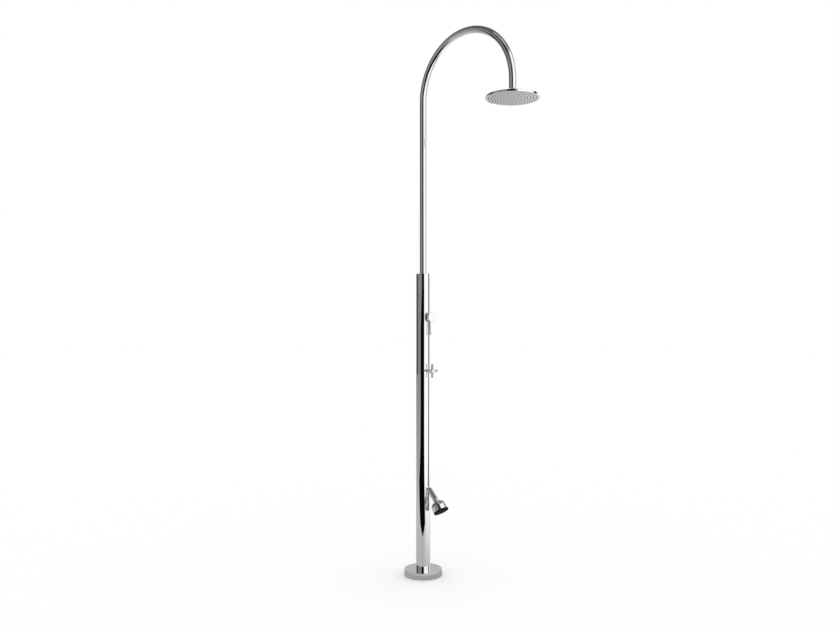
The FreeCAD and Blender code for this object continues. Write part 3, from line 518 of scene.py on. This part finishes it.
def head_disc():
    inner = head_radius - HEAD_RIM_WALL
    ceiling = HEAD_RIM_HEIGHT - HEAD_TOP_WALL
    turned_piece("rain_head_shell", "chrome", "rain_head", ["head_shell"],
                 [(0, inner), (0, head_radius, HEAD_RIM_ROUND / 2),
                  (HEAD_RIM_HEIGHT, head_radius, HEAD_RIM_ROUND),
                  (HEAD_RIM_HEIGHT, HEAD_CONE_RADIUS, HEAD_CONE_ROUND),
                  (HEAD_RIM_HEIGHT + HEAD_CONE_RISE, HEAD_HUB_RADIUS), (HEAD_HUB_HEIGHT, HEAD_HUB_RADIUS),
                  (HEAD_HUB_HEIGHT, HEAD_BORE_RADIUS), (HEAD_RIM_HEIGHT, HEAD_BORE_RADIUS),
                  (ceiling, HEAD_CONE_RADIUS), (ceiling, inner)], head_face, UP, DISC_SEGMENTS)


def head_plate():
    outer = head_radius - HEAD_RIM_WALL - SEAT_GAP
    top = HEAD_FACE_RECESS + HEAD_FACE_THICKNESS
    turned_piece("rain_head_face", "satin_steel", "rain_head", ["head_face_plate"],
                 [(HEAD_FACE_RECESS, 0), (HEAD_FACE_RECESS, outer, HEAD_FACE_ROUND), (top, outer), (top, 0)],
                 head_face, UP, COLUMN_SEGMENTS)


def ring_places(rings, pitch):
    """Places at the centre and on evenly spaced rings round it."""
    places = [(0.0, 0.0)]
    for ring in range(1, rings + 1):
        count = RING_STEP * ring
        for index in range(count):
            angle = 2 * math.pi * index / count
            places.append((ring * pitch * math.cos(angle), ring * pitch * math.sin(angle)))
    return places


def nozzle_outline(base, tip, bore, height):
    """A soft nozzle: a root that tapers a little, a cone, a lip that draws in and a blind bore."""
    floor = height * NOZZLE_BORE_FLOOR
    return [(0, 0), (0, base), (height * NOZZLE_ROOT_END, base * NOZZLE_ROOT_WIDTH),
            (height * NOZZLE_LIP_START, tip * NOZZLE_LIP_WIDTH), (height, tip * NOZZLE_END_WIDTH),
            (height, bore), (floor, bore), (floor, 0)]


def head_nozzles():
    mesh = bmesh.new()
    outline = nozzle_outline(NOZZLE_RADIUS, NOZZLE_TIP_RADIUS, NOZZLE_BORE_RADIUS, NOZZLE_HEIGHT)
    face = head_face + UP * HEAD_FACE_RECESS
    for across, along in ring_places(NOZZLE_RINGS, NOZZLE_PITCH):
        add_turned(mesh, outline, face + Vector((across, along, 0)), DOWN, NOZZLE_SEGMENTS)
    finish_mesh("rain_head_nozzles", mesh, "grey_silicone", "rain_head", ["spray_nozzles"])


# ---------------------------------------------------------------- mixer
# distances along the knob's axis are from the mixer's pivot, towards the front
mixer_pivot = joint_place("mixer_temperature")
DOME_RADIUS = 16.2
DOME_FRONT = 3.0
SLEEVE_RADIUS = 13.5
SLEEVE_BACK = -25.0
DOME_BORE = 10.5
KNOB_RADIUS = 21.5
KNOB_RIM_RADIUS = 17.6
KNOB_BACK = -4.5
KNOB_SHOULDER = 3.0
KNOB_FRONT = 13.0
KNOB_RIM_ROUND = 0.7
KNOB_SHOULDER_ROUND = 7.0
KNOB_EDGE_ROUND = 1.5
KNOB_CAVITY = 16.7
KNOB_FLOOR = 7.5
LEVER_RADIUS = 4.0
LEVER_TIP_RADIUS = 4.6
LEVER_ROOT = 19.0
LEVER_LENGTH = 76.0
LEVER_TIP_LENGTH = 12.0
LEVER_TIP_ROUND = 1.2
LEVER_OFFSET = -0.2
LEVER_LEAN = 3.0              # degrees that the rod leans out from the column
DOME_STEPS = 16


def sphere_run(radius, low, high, steps=DOME_STEPS):
    """Outline points of a ball between two distances along its axis."""
    start = math.acos(low / radius)
    end = math.acos(high / radius)
    angles = [start + (end - start) * step / steps for step in range(steps + 1)]
    return [(radius * math.cos(angle), radius * math.sin(angle)) for angle in angles]


def mixer_neck():
    meet = -math.sqrt(DOME_RADIUS ** 2 - SLEEVE_RADIUS ** 2)
    turned_piece("mixer_neck", "chrome", "post", ["mixer_sleeve"],
                 [(SLEEVE_BACK, DOME_BORE), (SLEEVE_BACK, SLEEVE_RADIUS)]
                 + sphere_run(DOME_RADIUS, meet, DOME_FRONT) + [(DOME_FRONT, DOME_BORE)],
                 mixer_pivot, FRONT, TUBE_SEGMENTS)


def mixer_knob():
    rim = math.sqrt(KNOB_CAVITY ** 2 - KNOB_BACK ** 2)
    cavity = sphere_run(KNOB_CAVITY, KNOB_FLOOR, KNOB_BACK)
    turned_piece("mixer_lever_knob", "chrome", "mixer_lever", ["mixer_knob"],
                 [(KNOB_BACK, rim), (KNOB_BACK, KNOB_RIM_RADIUS, KNOB_RIM_ROUND),
                  (KNOB_SHOULDER, KNOB_RADIUS, KNOB_SHOULDER_ROUND),
                  (KNOB_FRONT, KNOB_RADIUS, KNOB_EDGE_ROUND), (KNOB_FRONT, 0), (KNOB_FLOOR, 0)] + cavity,
                 mixer_pivot, FRONT, BELL_SEGMENTS)


def mixer_lever():
    lean = math.radians(LEVER_LEAN)
    direction = Vector((0, -math.sin(lean), -math.cos(lean)))
    turned_piece("mixer_pin_lever", "chrome", "mixer_lever", ["pin_lever"],
                 [(LEVER_ROOT, 0), (LEVER_ROOT, LEVER_RADIUS),
                  (LEVER_LENGTH - LEVER_TIP_LENGTH, LEVER_RADIUS),
                  (LEVER_LENGTH, LEVER_TIP_RADIUS, LEVER_TIP_ROUND), (LEVER_LENGTH, 0)],
                 mixer_pivot + FRONT * LEVER_OFFSET, direction, ROD_SEGMENTS)


# ---------------------------------------------------------------- stop tap
# distances along the spindle are from the column's axis, towards the front
tap_axis = joint_place("tap_turn")
tap_origin = Vector((0, 0, tap_axis.z))
hub_back = -high_corner("cross_hub").y
hub_front = -low_corner("cross_hub").y
bonnet_front = -low_corner("tap_bonnet").y
bonnet_back = -high_corner("tap_bonnet").y
SPINDLE_BORE = 4.05
BONNET_RADIUS = 9.0
BONNET_ROOT_RADIUS = 8.0
BONNET_ROOT_END = 26.0
BONNET_EDGE_ROUND = 1.0
HUB_RADIUS = 9.5
HUB_BACK_ROUND = 0.6
HUB_FRONT_ROUND = 2.5
HUB_RECESS_RADIUS = 6.5
HUB_RECESS_DEPTH = 4.0
SPOKES = 4
SPOKE_RADIUS = 5.25
SPOKE_ROOT = 7.5
SPOKE_REACH = 29.0
SPOKE_END_ROUND = 2.0
HANDLE_CAP_PROUD = 0.6
HANDLE_CAP_DEPTH = 1.0
HANDLE_CAP_ROUND = 0.5


def tap_neck():
    turned_piece("tap_neck", "chrome", "post", ["tap_bonnet"],
                 [(bonnet_back, SPINDLE_BORE), (bonnet_back, BONNET_ROOT_RADIUS),
                  (BONNET_ROOT_END, BONNET_ROOT_RADIUS), (BONNET_ROOT_END, BONNET_RADIUS),
                  (bonnet_front, BONNET_RADIUS, BONNET_EDGE_ROUND), (bonnet_front, SPINDLE_BORE)],
                 tap_origin, FRONT, FITTING_SEGMENTS)


def handle_hub():
    recess = hub_front - HUB_RECESS_DEPTH
    turned_piece("cross_handle_hub", "chrome", "tap_handle", ["cross_hub"],
                 [(hub_back, SPINDLE_BORE), (hub_back, HUB_RADIUS, HUB_BACK_ROUND),
                  (hub_front, HUB_RADIUS, HUB_FRONT_ROUND), (hub_front, HUB_RECESS_RADIUS),
                  (recess, HUB_RECESS_RADIUS), (recess, SPINDLE_BORE)],
                 tap_origin, FRONT, FITTING_SEGMENTS)


def handle_cap():
    back = hub_front - HANDLE_CAP_DEPTH
    front = hub_front + HANDLE_CAP_PROUD
    radius = HUB_RECESS_RADIUS - SEAT_GAP
    turned_piece("cross_handle_cap", "chrome", "tap_handle", ["cross_cap"],
                 [(back, 0), (back, radius), (front, radius, HANDLE_CAP_ROUND), (front, 0)],
                 tap_origin, FRONT, ROD_SEGMENTS)


def handle_spokes():
    outline = [(SPOKE_ROOT, 0), (SPOKE_ROOT, SPOKE_RADIUS), (SPOKE_REACH, SPOKE_RADIUS, SPOKE_END_ROUND),
               (SPOKE_REACH, 0)]
    mesh = bmesh.new()
    for index in range(SPOKES):
        angle = 2 * math.pi * index / SPOKES
        direction = Vector((math.sin(angle), 0, math.cos(angle)))
        add_turned(mesh, outline, tap_axis, direction, ROD_SEGMENTS)
    finish_mesh("cross_handle_spokes", mesh, "chrome", "tap_handle", ["cross_spokes"])


# ---------------------------------------------------------------- foot spray
# distances along the bell's and the arm's axes are from the ball's centre, away from the column
foot_ball = joint_place("foot_tilt")
FOOT_ANGLE = 48.0             # the arm below the horizontal
BELL_ANGLE = 56.0             # and the bell, as it hangs at rest
foot_slope = math.radians(FOOT_ANGLE)
bell_slope = math.radians(BELL_ANGLE)
foot_axis = Vector((0, -math.cos(foot_slope), -math.sin(foot_slope)))
bell_axis = Vector((0, -math.cos(bell_slope), -math.sin(bell_slope)))
FOOT_EXIT_HEIGHT = 370.0
FOOT_STUB_START = 8.0         # where the tube begins, inside the column
FOOT_STUB_REACH = 4.0
FOOT_STUB_RADIUS = 11.5
FOOT_BEND_RADIUS = 16.0
FOOT_SWELL_RADIUS = 13.2
FOOT_SWELL_BACK = 20.0
FOOT_NECK_RADIUS = 12.0
FOOT_BALL_RADIUS = 18.0
FOOT_BALL_END = 0.92          # where the ball's front is cut flat, as a share of its radius
FOOT_BALL_STEPS = 32
FOOT_CAVITY = 18.3
BELL_RADIUS = 32.5
BELL_SHOULDER_RADIUS = 22.0
BELL_SHOULDER_END = 13.0
BELL_SHOULDER_STEPS = 24
BELL_COLLAR_RADIUS = 18.0
BELL_COLLAR_ROUND = 0.8
BELL_RIM_BACK = -9.4
BELL_STEP = -4.0
BELL_SEAT_RADIUS = 21.0
BELL_FRONT = 30.5
BELL_EDGE_ROUND = 0.4
BELL_CHAMBER_RADIUS = 27.0
BELL_CHAMBER_START = 14.5
BELL_LEDGE_GAP = 0.3          # behind the face cup's spigot
FACE_SPIGOT_RADIUS = 30.5
FACE_SPIGOT_LENGTH = 3.2
FACE_DEPTH = 8.0
FACE_WALL = 2.5
FACE_FLOOR = 3.0
FACE_BACK_ROUND = 0.3
FACE_EDGE_ROUND = 1.5
FOOT_NOZZLE_RINGS = 3
FOOT_NOZZLE_PITCH = 7.6
FOOT_NOZZLE_RADIUS = 1.2
FOOT_NOZZLE_TIP_RADIUS = 0.8
FOOT_NOZZLE_BORE_RADIUS = 0.4
FOOT_NOZZLE_HEIGHT = 1.0
BEND_STEPS = 24
face_front = BELL_FRONT + FACE_DEPTH


def foot_arm():
    """The stub out of the column, the bend, the arm that swells and the ball at its end."""
    stations = [(Vector((0, -FOOT_STUB_START, FOOT_EXIT_HEIGHT)), FRONT, FOOT_STUB_RADIUS)]
    start = Vector((0, -(column_radius + FOOT_STUB_REACH), FOOT_EXIT_HEIGHT))
    for step in range(BEND_STEPS + 1):
        angle = foot_slope * step / BEND_STEPS
        place = start + Vector((0, -math.sin(angle), math.cos(angle) - 1)) * FOOT_BEND_RADIUS
        direction = Vector((0, -math.cos(angle), -math.sin(angle)))
        stations.append((place, direction, FOOT_STUB_RADIUS))
    stations.append((foot_ball - foot_axis * FOOT_SWELL_BACK, foot_axis, FOOT_SWELL_RADIUS))
    neck = -math.sqrt(FOOT_BALL_RADIUS ** 2 - FOOT_NECK_RADIUS ** 2)
    front = FOOT_BALL_RADIUS * FOOT_BALL_END
    for along, radius in sphere_run(FOOT_BALL_RADIUS, neck, front, FOOT_BALL_STEPS):
        stations.append((foot_ball + foot_axis * along, foot_axis, radius))
    mesh = bmesh.new()
    add_swept(mesh, stations, TUBE_SEGMENTS)
    finish_mesh("foot_spray_arm", mesh, "chrome", "post", ["foot_elbow"])


def bell_shoulder():
    """Outline points of the bell's arc, from its collar to where it runs straight."""
    centre = BELL_RADIUS - BELL_SHOULDER_RADIUS
    rise = BELL_COLLAR_RADIUS - centre
    start = math.atan2(rise, -math.sqrt(BELL_SHOULDER_RADIUS ** 2 - rise ** 2))
    points = []
    for step in range(BELL_SHOULDER_STEPS + 1):
        angle = start + (math.pi / 2 - start) * step / BELL_SHOULDER_STEPS
        points.append((BELL_SHOULDER_END + BELL_SHOULDER_RADIUS * math.cos(angle),
                       centre + BELL_SHOULDER_RADIUS * math.sin(angle)))
    return points


def foot_bell():
    ledge = BELL_FRONT - FACE_SPIGOT_LENGTH - BELL_LEDGE_GAP
    inner = FACE_SPIGOT_RADIUS + SEAT_GAP
    mouth = [(BELL_FRONT, BELL_RADIUS, BELL_EDGE_ROUND), (BELL_FRONT, inner), (ledge, inner)]
    chamber = [(ledge, BELL_CHAMBER_RADIUS), (BELL_CHAMBER_START, BELL_CHAMBER_RADIUS),
               (BELL_CHAMBER_START, BELL_SEAT_RADIUS), (BELL_STEP, BELL_SEAT_RADIUS)]
    socket = sphere_run(FOOT_CAVITY, BELL_STEP, BELL_RIM_BACK)
    turned_piece("foot_spray_bell", "chrome", "foot_spray", ["foot_bell"],
                 [(BELL_RIM_BACK, BELL_COLLAR_RADIUS, BELL_COLLAR_ROUND)] + bell_shoulder()
                 + mouth + chamber + socket, foot_ball, bell_axis, BELL_SEGMENTS)


def foot_face():
    spigot_end = BELL_FRONT - FACE_SPIGOT_LENGTH
    floor = face_front - FACE_FLOOR
    hollow = FACE_SPIGOT_RADIUS - FACE_WALL
    turned_piece("foot_spray_face", "black_plastic", "foot_spray", ["foot_face_plate"],
                 [(spigot_end, hollow), (spigot_end, FACE_SPIGOT_RADIUS), (BELL_FRONT, FACE_SPIGOT_RADIUS),
                  (BELL_FRONT, BELL_RADIUS, FACE_BACK_ROUND), (face_front, BELL_RADIUS, FACE_EDGE_ROUND),
                  (face_front, 0), (floor, 0), (floor, hollow)], foot_ball, bell_axis, BELL_SEGMENTS)


def foot_nozzles():
    mesh = bmesh.new()
    face = foot_ball + bell_axis * face_front
    lift = SIDE.cross(bell_axis)
    outline = nozzle_outline(FOOT_NOZZLE_RADIUS, FOOT_NOZZLE_TIP_RADIUS, FOOT_NOZZLE_BORE_RADIUS,
                             FOOT_NOZZLE_HEIGHT)
    for across, along in ring_places(FOOT_NOZZLE_RINGS, FOOT_NOZZLE_PITCH):
        add_turned(mesh, outline, face + SIDE * across + lift * along, bell_axis, NOZZLE_SEGMENTS)
    finish_mesh("foot_spray_nozzles", mesh, "black_nozzle", "foot_spray", ["foot_nozzles"])


# ---------------------------------------------------------------- build the pieces
base_cover()
column()
column_cap()
riser_arch()
arch_collar()
head_stud()
head_nut()
head_disc()
head_plate()
head_nozzles()
mixer_neck()
mixer_knob()
mixer_lever()
tap_neck()
handle_hub()
handle_cap()
handle_spokes()
foot_arm()
foot_bell()
foot_face()
foot_nozzles()


# ---------------------------------------------------------------- studio
# The object stands in even white light. What its chrome mirrors is a plain studio that shows
# nowhere else: walls with lighter and darker bays under a dark ceiling, a floor that is grey on
# the left and white on the right, with the base's shadow on it, a black patch on the floor in
# front of the object that meets a black cloth rising behind the camera, a dark strip on the
# floor to the right, a grey curtain on each side and a grey skylight overhead. Lengths in this
# section are in metres.
# Azimuths are in degrees round the object, 0 towards the camera and positive to its right.
ROOM_RADIUS = 14.0
ROOM_SEGMENTS = 128
SEEN_FLOOR_SIZE = 60.0
WHITE = 1.1                    # brightness of the white parts of the walls and the floor

# each bay is (azimuth where it begins, brightness)
WALL_BAYS = ((-180, 0.52), (-150, 0.26), (-126, 0.04), (-95, 0.25), (-42, 0.24), (14, WHITE),
             (93.5, 0.0), (117, 0.95), (156, 0.51))
BAY_BLEND = 1.5                # degrees over which one bay turns into the next
CEILING_GREY = 0.12
CEILING_LOW = 52.0             # elevation where the walls begin to fade into the ceiling
CEILING_HIGH = 60.0

# each tone is (distance to the right of the object, brightness)
FLOOR_TONES = ((-8.0, 0.30), (-4.0, 0.35), (-2.0, 0.42), (-1.2, 0.56), (-0.3, 0.50), (0.0, 0.47),
               (0.3, 0.62), (0.65, 0.81), (1.5, WHITE))

SHEET_STRIPS = 16
SHEET_LIFT = 0.001             # of what lies on the floor
RISE_DISTANCE = 12.0          # where the black patch on the floor ends and the black cloth rises
CURTAIN_DISTANCE = 12.5
SKYLIGHT_HEIGHT = 12.0
BLACK_GREY = 0.002
CURTAIN_GREY = 0.10
BACK_CURTAIN_GREY = 0.36
DARK_STRIP_GREY = 0.10
BASE_SHADOW_GREY = 0.37
SKYLIGHT_GREY = 0.50

# each row of what lies level is (left azimuth, right azimuth, distance from the object)
# a black patch lying on the floor in front of the object, seen only in reflections
BLACK_PATCH_ON_FLOOR = ((-6, -6, 0.69), (-13, -1, 0.71), (-21, 7, 0.77), (-48, 32, 0.99), (-62, 28, 1.45),
                  (-67, 20, 2.2), (-46, 18, 4.0), (-42, 18, 8.0), (-42, 18, RISE_DISTANCE))
# a dark strip lying on the floor to the right, seen only in reflections
DARK_STRIP = ((70, 113, 1.25), (74, 113, 1.6), (82, 113, 2.2), (88, 113, 4.0), (92, 116, ROOM_RADIUS))
BASE_SHADOW = ((-180, 180, 0.05), (-180, 180, 0.14))
SKYLIGHT = ((-60, 45, 6.4), (-60, 45, 2.1))

# each row of what hangs is (left azimuth, right azimuth, height)
CLOTH_RISING = ((-42, 18, SHEET_LIFT), (-42, 18, 0.95), (-22, 18, 1.75), (-25, 10, 4.0), (-30, 0, 7.8),
                (-55, -18, 11.6), (-62, -15, 15.1), (-60, -10, 19.0))
CURTAIN = ((-110, -50, 8.6), (-110, -40, 22.0))
BACK_CURTAIN = ((100, 168, 8.0), (100, 168, 18.0))


def level_direction(azimuth):
    """The level direction that a wall or a sheet at this azimuth lies in."""
    angle = math.radians(azimuth)
    return view_back * math.cos(angle) + view_right * math.sin(angle)


def grey_ramp(tree, value, low, high, stops):
    """Turns a value between low and high into the greys of (value, grey) stops."""
    span = tree.nodes.new("ShaderNodeMapRange")
    span.inputs["From Min"].default_value = low
    span.inputs["From Max"].default_value = high
    ramp = tree.nodes.new("ShaderNodeValToRGB")
    greys = ramp.color_ramp.elements
    while len(greys) < len(stops):
        greys.new(1.0)
    for stop, (place, grey) in zip(greys, stops):
        stop.position = (place - low) / (high - low)
        stop.color = (*neutral(grey), 1)
    tree.links.new(value, span.inputs["Value"])
    tree.links.new(span.outputs["Result"], ramp.inputs["Fac"])
    return ramp.outputs["Color"]


def only_in_reflections(piece):
    piece.visible_camera = False
    piece.visible_diffuse = False
    piece.visible_transmission = False
    piece.visible_shadow = False


def glowing_material(name):
    material = bpy.data.materials.new(name)
    material.use_nodes = True
    tree = material.node_tree
    tree.nodes.clear()
    glow = tree.nodes.new("ShaderNodeEmission")
    output = tree.nodes.new("ShaderNodeOutputMaterial")
    tree.links.new(glow.outputs["Emission"], output.inputs["Surface"])
    return material, tree, glow


def stage_piece(name, mesh, material):
    data = bpy.data.meshes.new(name)
    mesh.to_mesh(data)
    mesh.free()
    data.materials.append(material)
    piece = bpy.data.objects.new(name, data)
    bpy.context.scene.collection.objects.link(piece)
    return piece


def mirrored_floor():
    """The floor that shows only in reflections; its own x runs to the camera's right."""
    material, tree, glow = glowing_material("mirrored_floor")
    place = tree.nodes.new("ShaderNodeTexCoord")
    split = tree.nodes.new("ShaderNodeSeparateXYZ")
    tree.links.new(place.outputs["Object"], split.inputs["Vector"])
    greys = grey_ramp(tree, split.outputs["X"], FLOOR_TONES[0][0], FLOOR_TONES[-1][0], FLOOR_TONES)
    tree.links.new(greys, glow.inputs["Color"])
    mesh = bmesh.new()
    bmesh.ops.create_circle(mesh, cap_ends=True, radius=ROOM_RADIUS, segments=ROOM_SEGMENTS)
    piece = stage_piece("mirrored_floor", mesh, material)
    piece.rotation_euler.z = turn
    only_in_reflections(piece)


def reflected_sheet(name, grey, rows):
    """A sheet that shows only in reflections, through rows of (left, right, distance, height)."""
    material, _, glow = glowing_material(name)
    glow.inputs["Color"].default_value = (*neutral(grey), 1)
    mesh = bmesh.new()
    lines = []
    for left, right, distance, height in rows:
        line = []
        for step in range(SHEET_STRIPS + 1):
            azimuth = left + (right - left) * step / SHEET_STRIPS
            line.append(mesh.verts.new(level_direction(azimuth) * distance + UP * height))
        lines.append(line)
    for line, other in zip(lines, lines[1:]):
        for step in range(SHEET_STRIPS):
            mesh.faces.new((line[step], line[step + 1], other[step + 1], other[step]))
    only_in_reflections(stage_piece(name, mesh, material))


def lying(rows, height=SHEET_LIFT):
    """The rows of a sheet that is level, for cloth()."""
    return [(left, right, distance, height) for left, right, distance in rows]


def hanging(rows, distance=RISE_DISTANCE):
    """The rows of a sheet that stands upright at one distance, for cloth()."""
    return [(left, right, distance, height) for left, right, height in rows]


def wall_stops():
    """The bays of the wall as ramp stops, with a short blend from one bay to the next."""
    stops = [WALL_BAYS[0]]
    for (_, grey_before), (azimuth, grey) in zip(WALL_BAYS, WALL_BAYS[1:]):
        stops.append((azimuth - BAY_BLEND / 2, grey_before))
        stops.append((azimuth + BAY_BLEND / 2, grey))
    stops.append((180, WALL_BAYS[-1][1]))
    return [(math.radians(azimuth), grey) for azimuth, grey in stops]


def world_direction(tree):
    """The azimuth, in radians, and the sine of the elevation of each direction of the world."""
    place = tree.nodes.new("ShaderNodeTexCoord")
    aim = tree.nodes.new("ShaderNodeVectorRotate")
    aim.rotation_type = "Z_AXIS"
    aim.inputs["Angle"].default_value = -turn
    split = tree.nodes.new("ShaderNodeSeparateXYZ")
    towards = tree.nodes.new("ShaderNodeMath")
    towards.operation = "MULTIPLY"
    towards.inputs[1].default_value = -1.0
    azimuth = tree.nodes.new("ShaderNodeMath")
    azimuth.operation = "ARCTAN2"
    tree.links.new(place.outputs["Generated"], aim.inputs["Vector"])
    tree.links.new(aim.outputs["Vector"], split.inputs["Vector"])
    tree.links.new(split.outputs["Y"], towards.inputs[0])
    tree.links.new(split.outputs["X"], azimuth.inputs[0])
    tree.links.new(towards.outputs["Value"], azimuth.inputs[1])
    return azimuth.outputs["Value"], split.outputs["Z"]


def room_colour(tree):
    """The walls' bays, which fade into the ceiling."""
    azimuth, elevation = world_direction(tree)
    walls = grey_ramp(tree, azimuth, -math.pi, math.pi, wall_stops())
    fade = tree.nodes.new("ShaderNodeMapRange")
    fade.inputs["From Min"].default_value = math.sin(math.radians(CEILING_LOW))
    fade.inputs["From Max"].default_value = math.sin(math.radians(CEILING_HIGH))
    room = tree.nodes.new("ShaderNodeMix")
    room.data_type = "RGBA"
    room.inputs["B"].default_value = (*neutral(CEILING_GREY), 1)
    tree.links.new(elevation, fade.inputs["Value"])
    tree.links.new(fade.outputs["Result"], room.inputs["Factor"])
    tree.links.new(walls, room.inputs["A"])
    return room.outputs["Result"]


def studio_world():
    """The room in reflections, and plain white for the camera and the light on the object."""
    world = bpy.data.worlds.new("studio")
    bpy.context.scene.world = world
    world.use_nodes = True
    tree = world.node_tree
    tree.nodes.clear()
    mirrored = tree.nodes.new("ShaderNodeBackground")
    tree.links.new(room_colour(tree), mirrored.inputs["Color"])
    lit = tree.nodes.new("ShaderNodeBackground")
    lit.inputs["Color"].default_value = (1, 1, 1, 1)
    path = tree.nodes.new("ShaderNodeLightPath")
    mix = tree.nodes.new("ShaderNodeMixShader")
    output = tree.nodes.new("ShaderNodeOutputWorld")
    tree.links.new(path.outputs["Is Glossy Ray"], mix.inputs["Fac"])
    tree.links.new(lit.outputs["Background"], mix.inputs[1])
    tree.links.new(mirrored.outputs["Background"], mix.inputs[2])
    tree.links.new(mix.outputs["Shader"], output.inputs["Surface"])


def seen_floor():
    """The white floor that the camera sees, with the object's soft shadow."""
    material, _, shader = node_material("white_floor")
    shader.inputs["Base Color"].default_value = (1, 1, 1, 1)
    shader.inputs["Specular IOR Level"].default_value = 0.0
    shader.inputs["Roughness"].default_value = 1.0
    mesh = bmesh.new()
    half = SEEN_FLOOR_SIZE / 2
    corners = ((-half, -half, 0), (half, -half, 0), (half, half, 0), (-half, half, 0))
    mesh.faces.new([mesh.verts.new(corner) for corner in corners])
    stage_piece("white_floor", mesh, material).visible_glossy = False


studio_world()
mirrored_floor()
reflected_sheet("black_floor_patch", BLACK_GREY, lying(BLACK_PATCH_ON_FLOOR))
reflected_sheet("black_cloth_rising", BLACK_GREY, hanging(CLOTH_RISING))
reflected_sheet("grey_curtain", CURTAIN_GREY, hanging(CURTAIN, CURTAIN_DISTANCE))
reflected_sheet("back_curtain", BACK_CURTAIN_GREY, hanging(BACK_CURTAIN, CURTAIN_DISTANCE))
reflected_sheet("dark_floor_strip", DARK_STRIP_GREY, lying(DARK_STRIP))
reflected_sheet("base_shadow", BASE_SHADOW_GREY, lying(BASE_SHADOW))
reflected_sheet("skylight", SKYLIGHT_GREY, lying(SKYLIGHT, SKYLIGHT_HEIGHT))
seen_floor()

bpy.context.scene.view_settings.view_transform = "Standard"
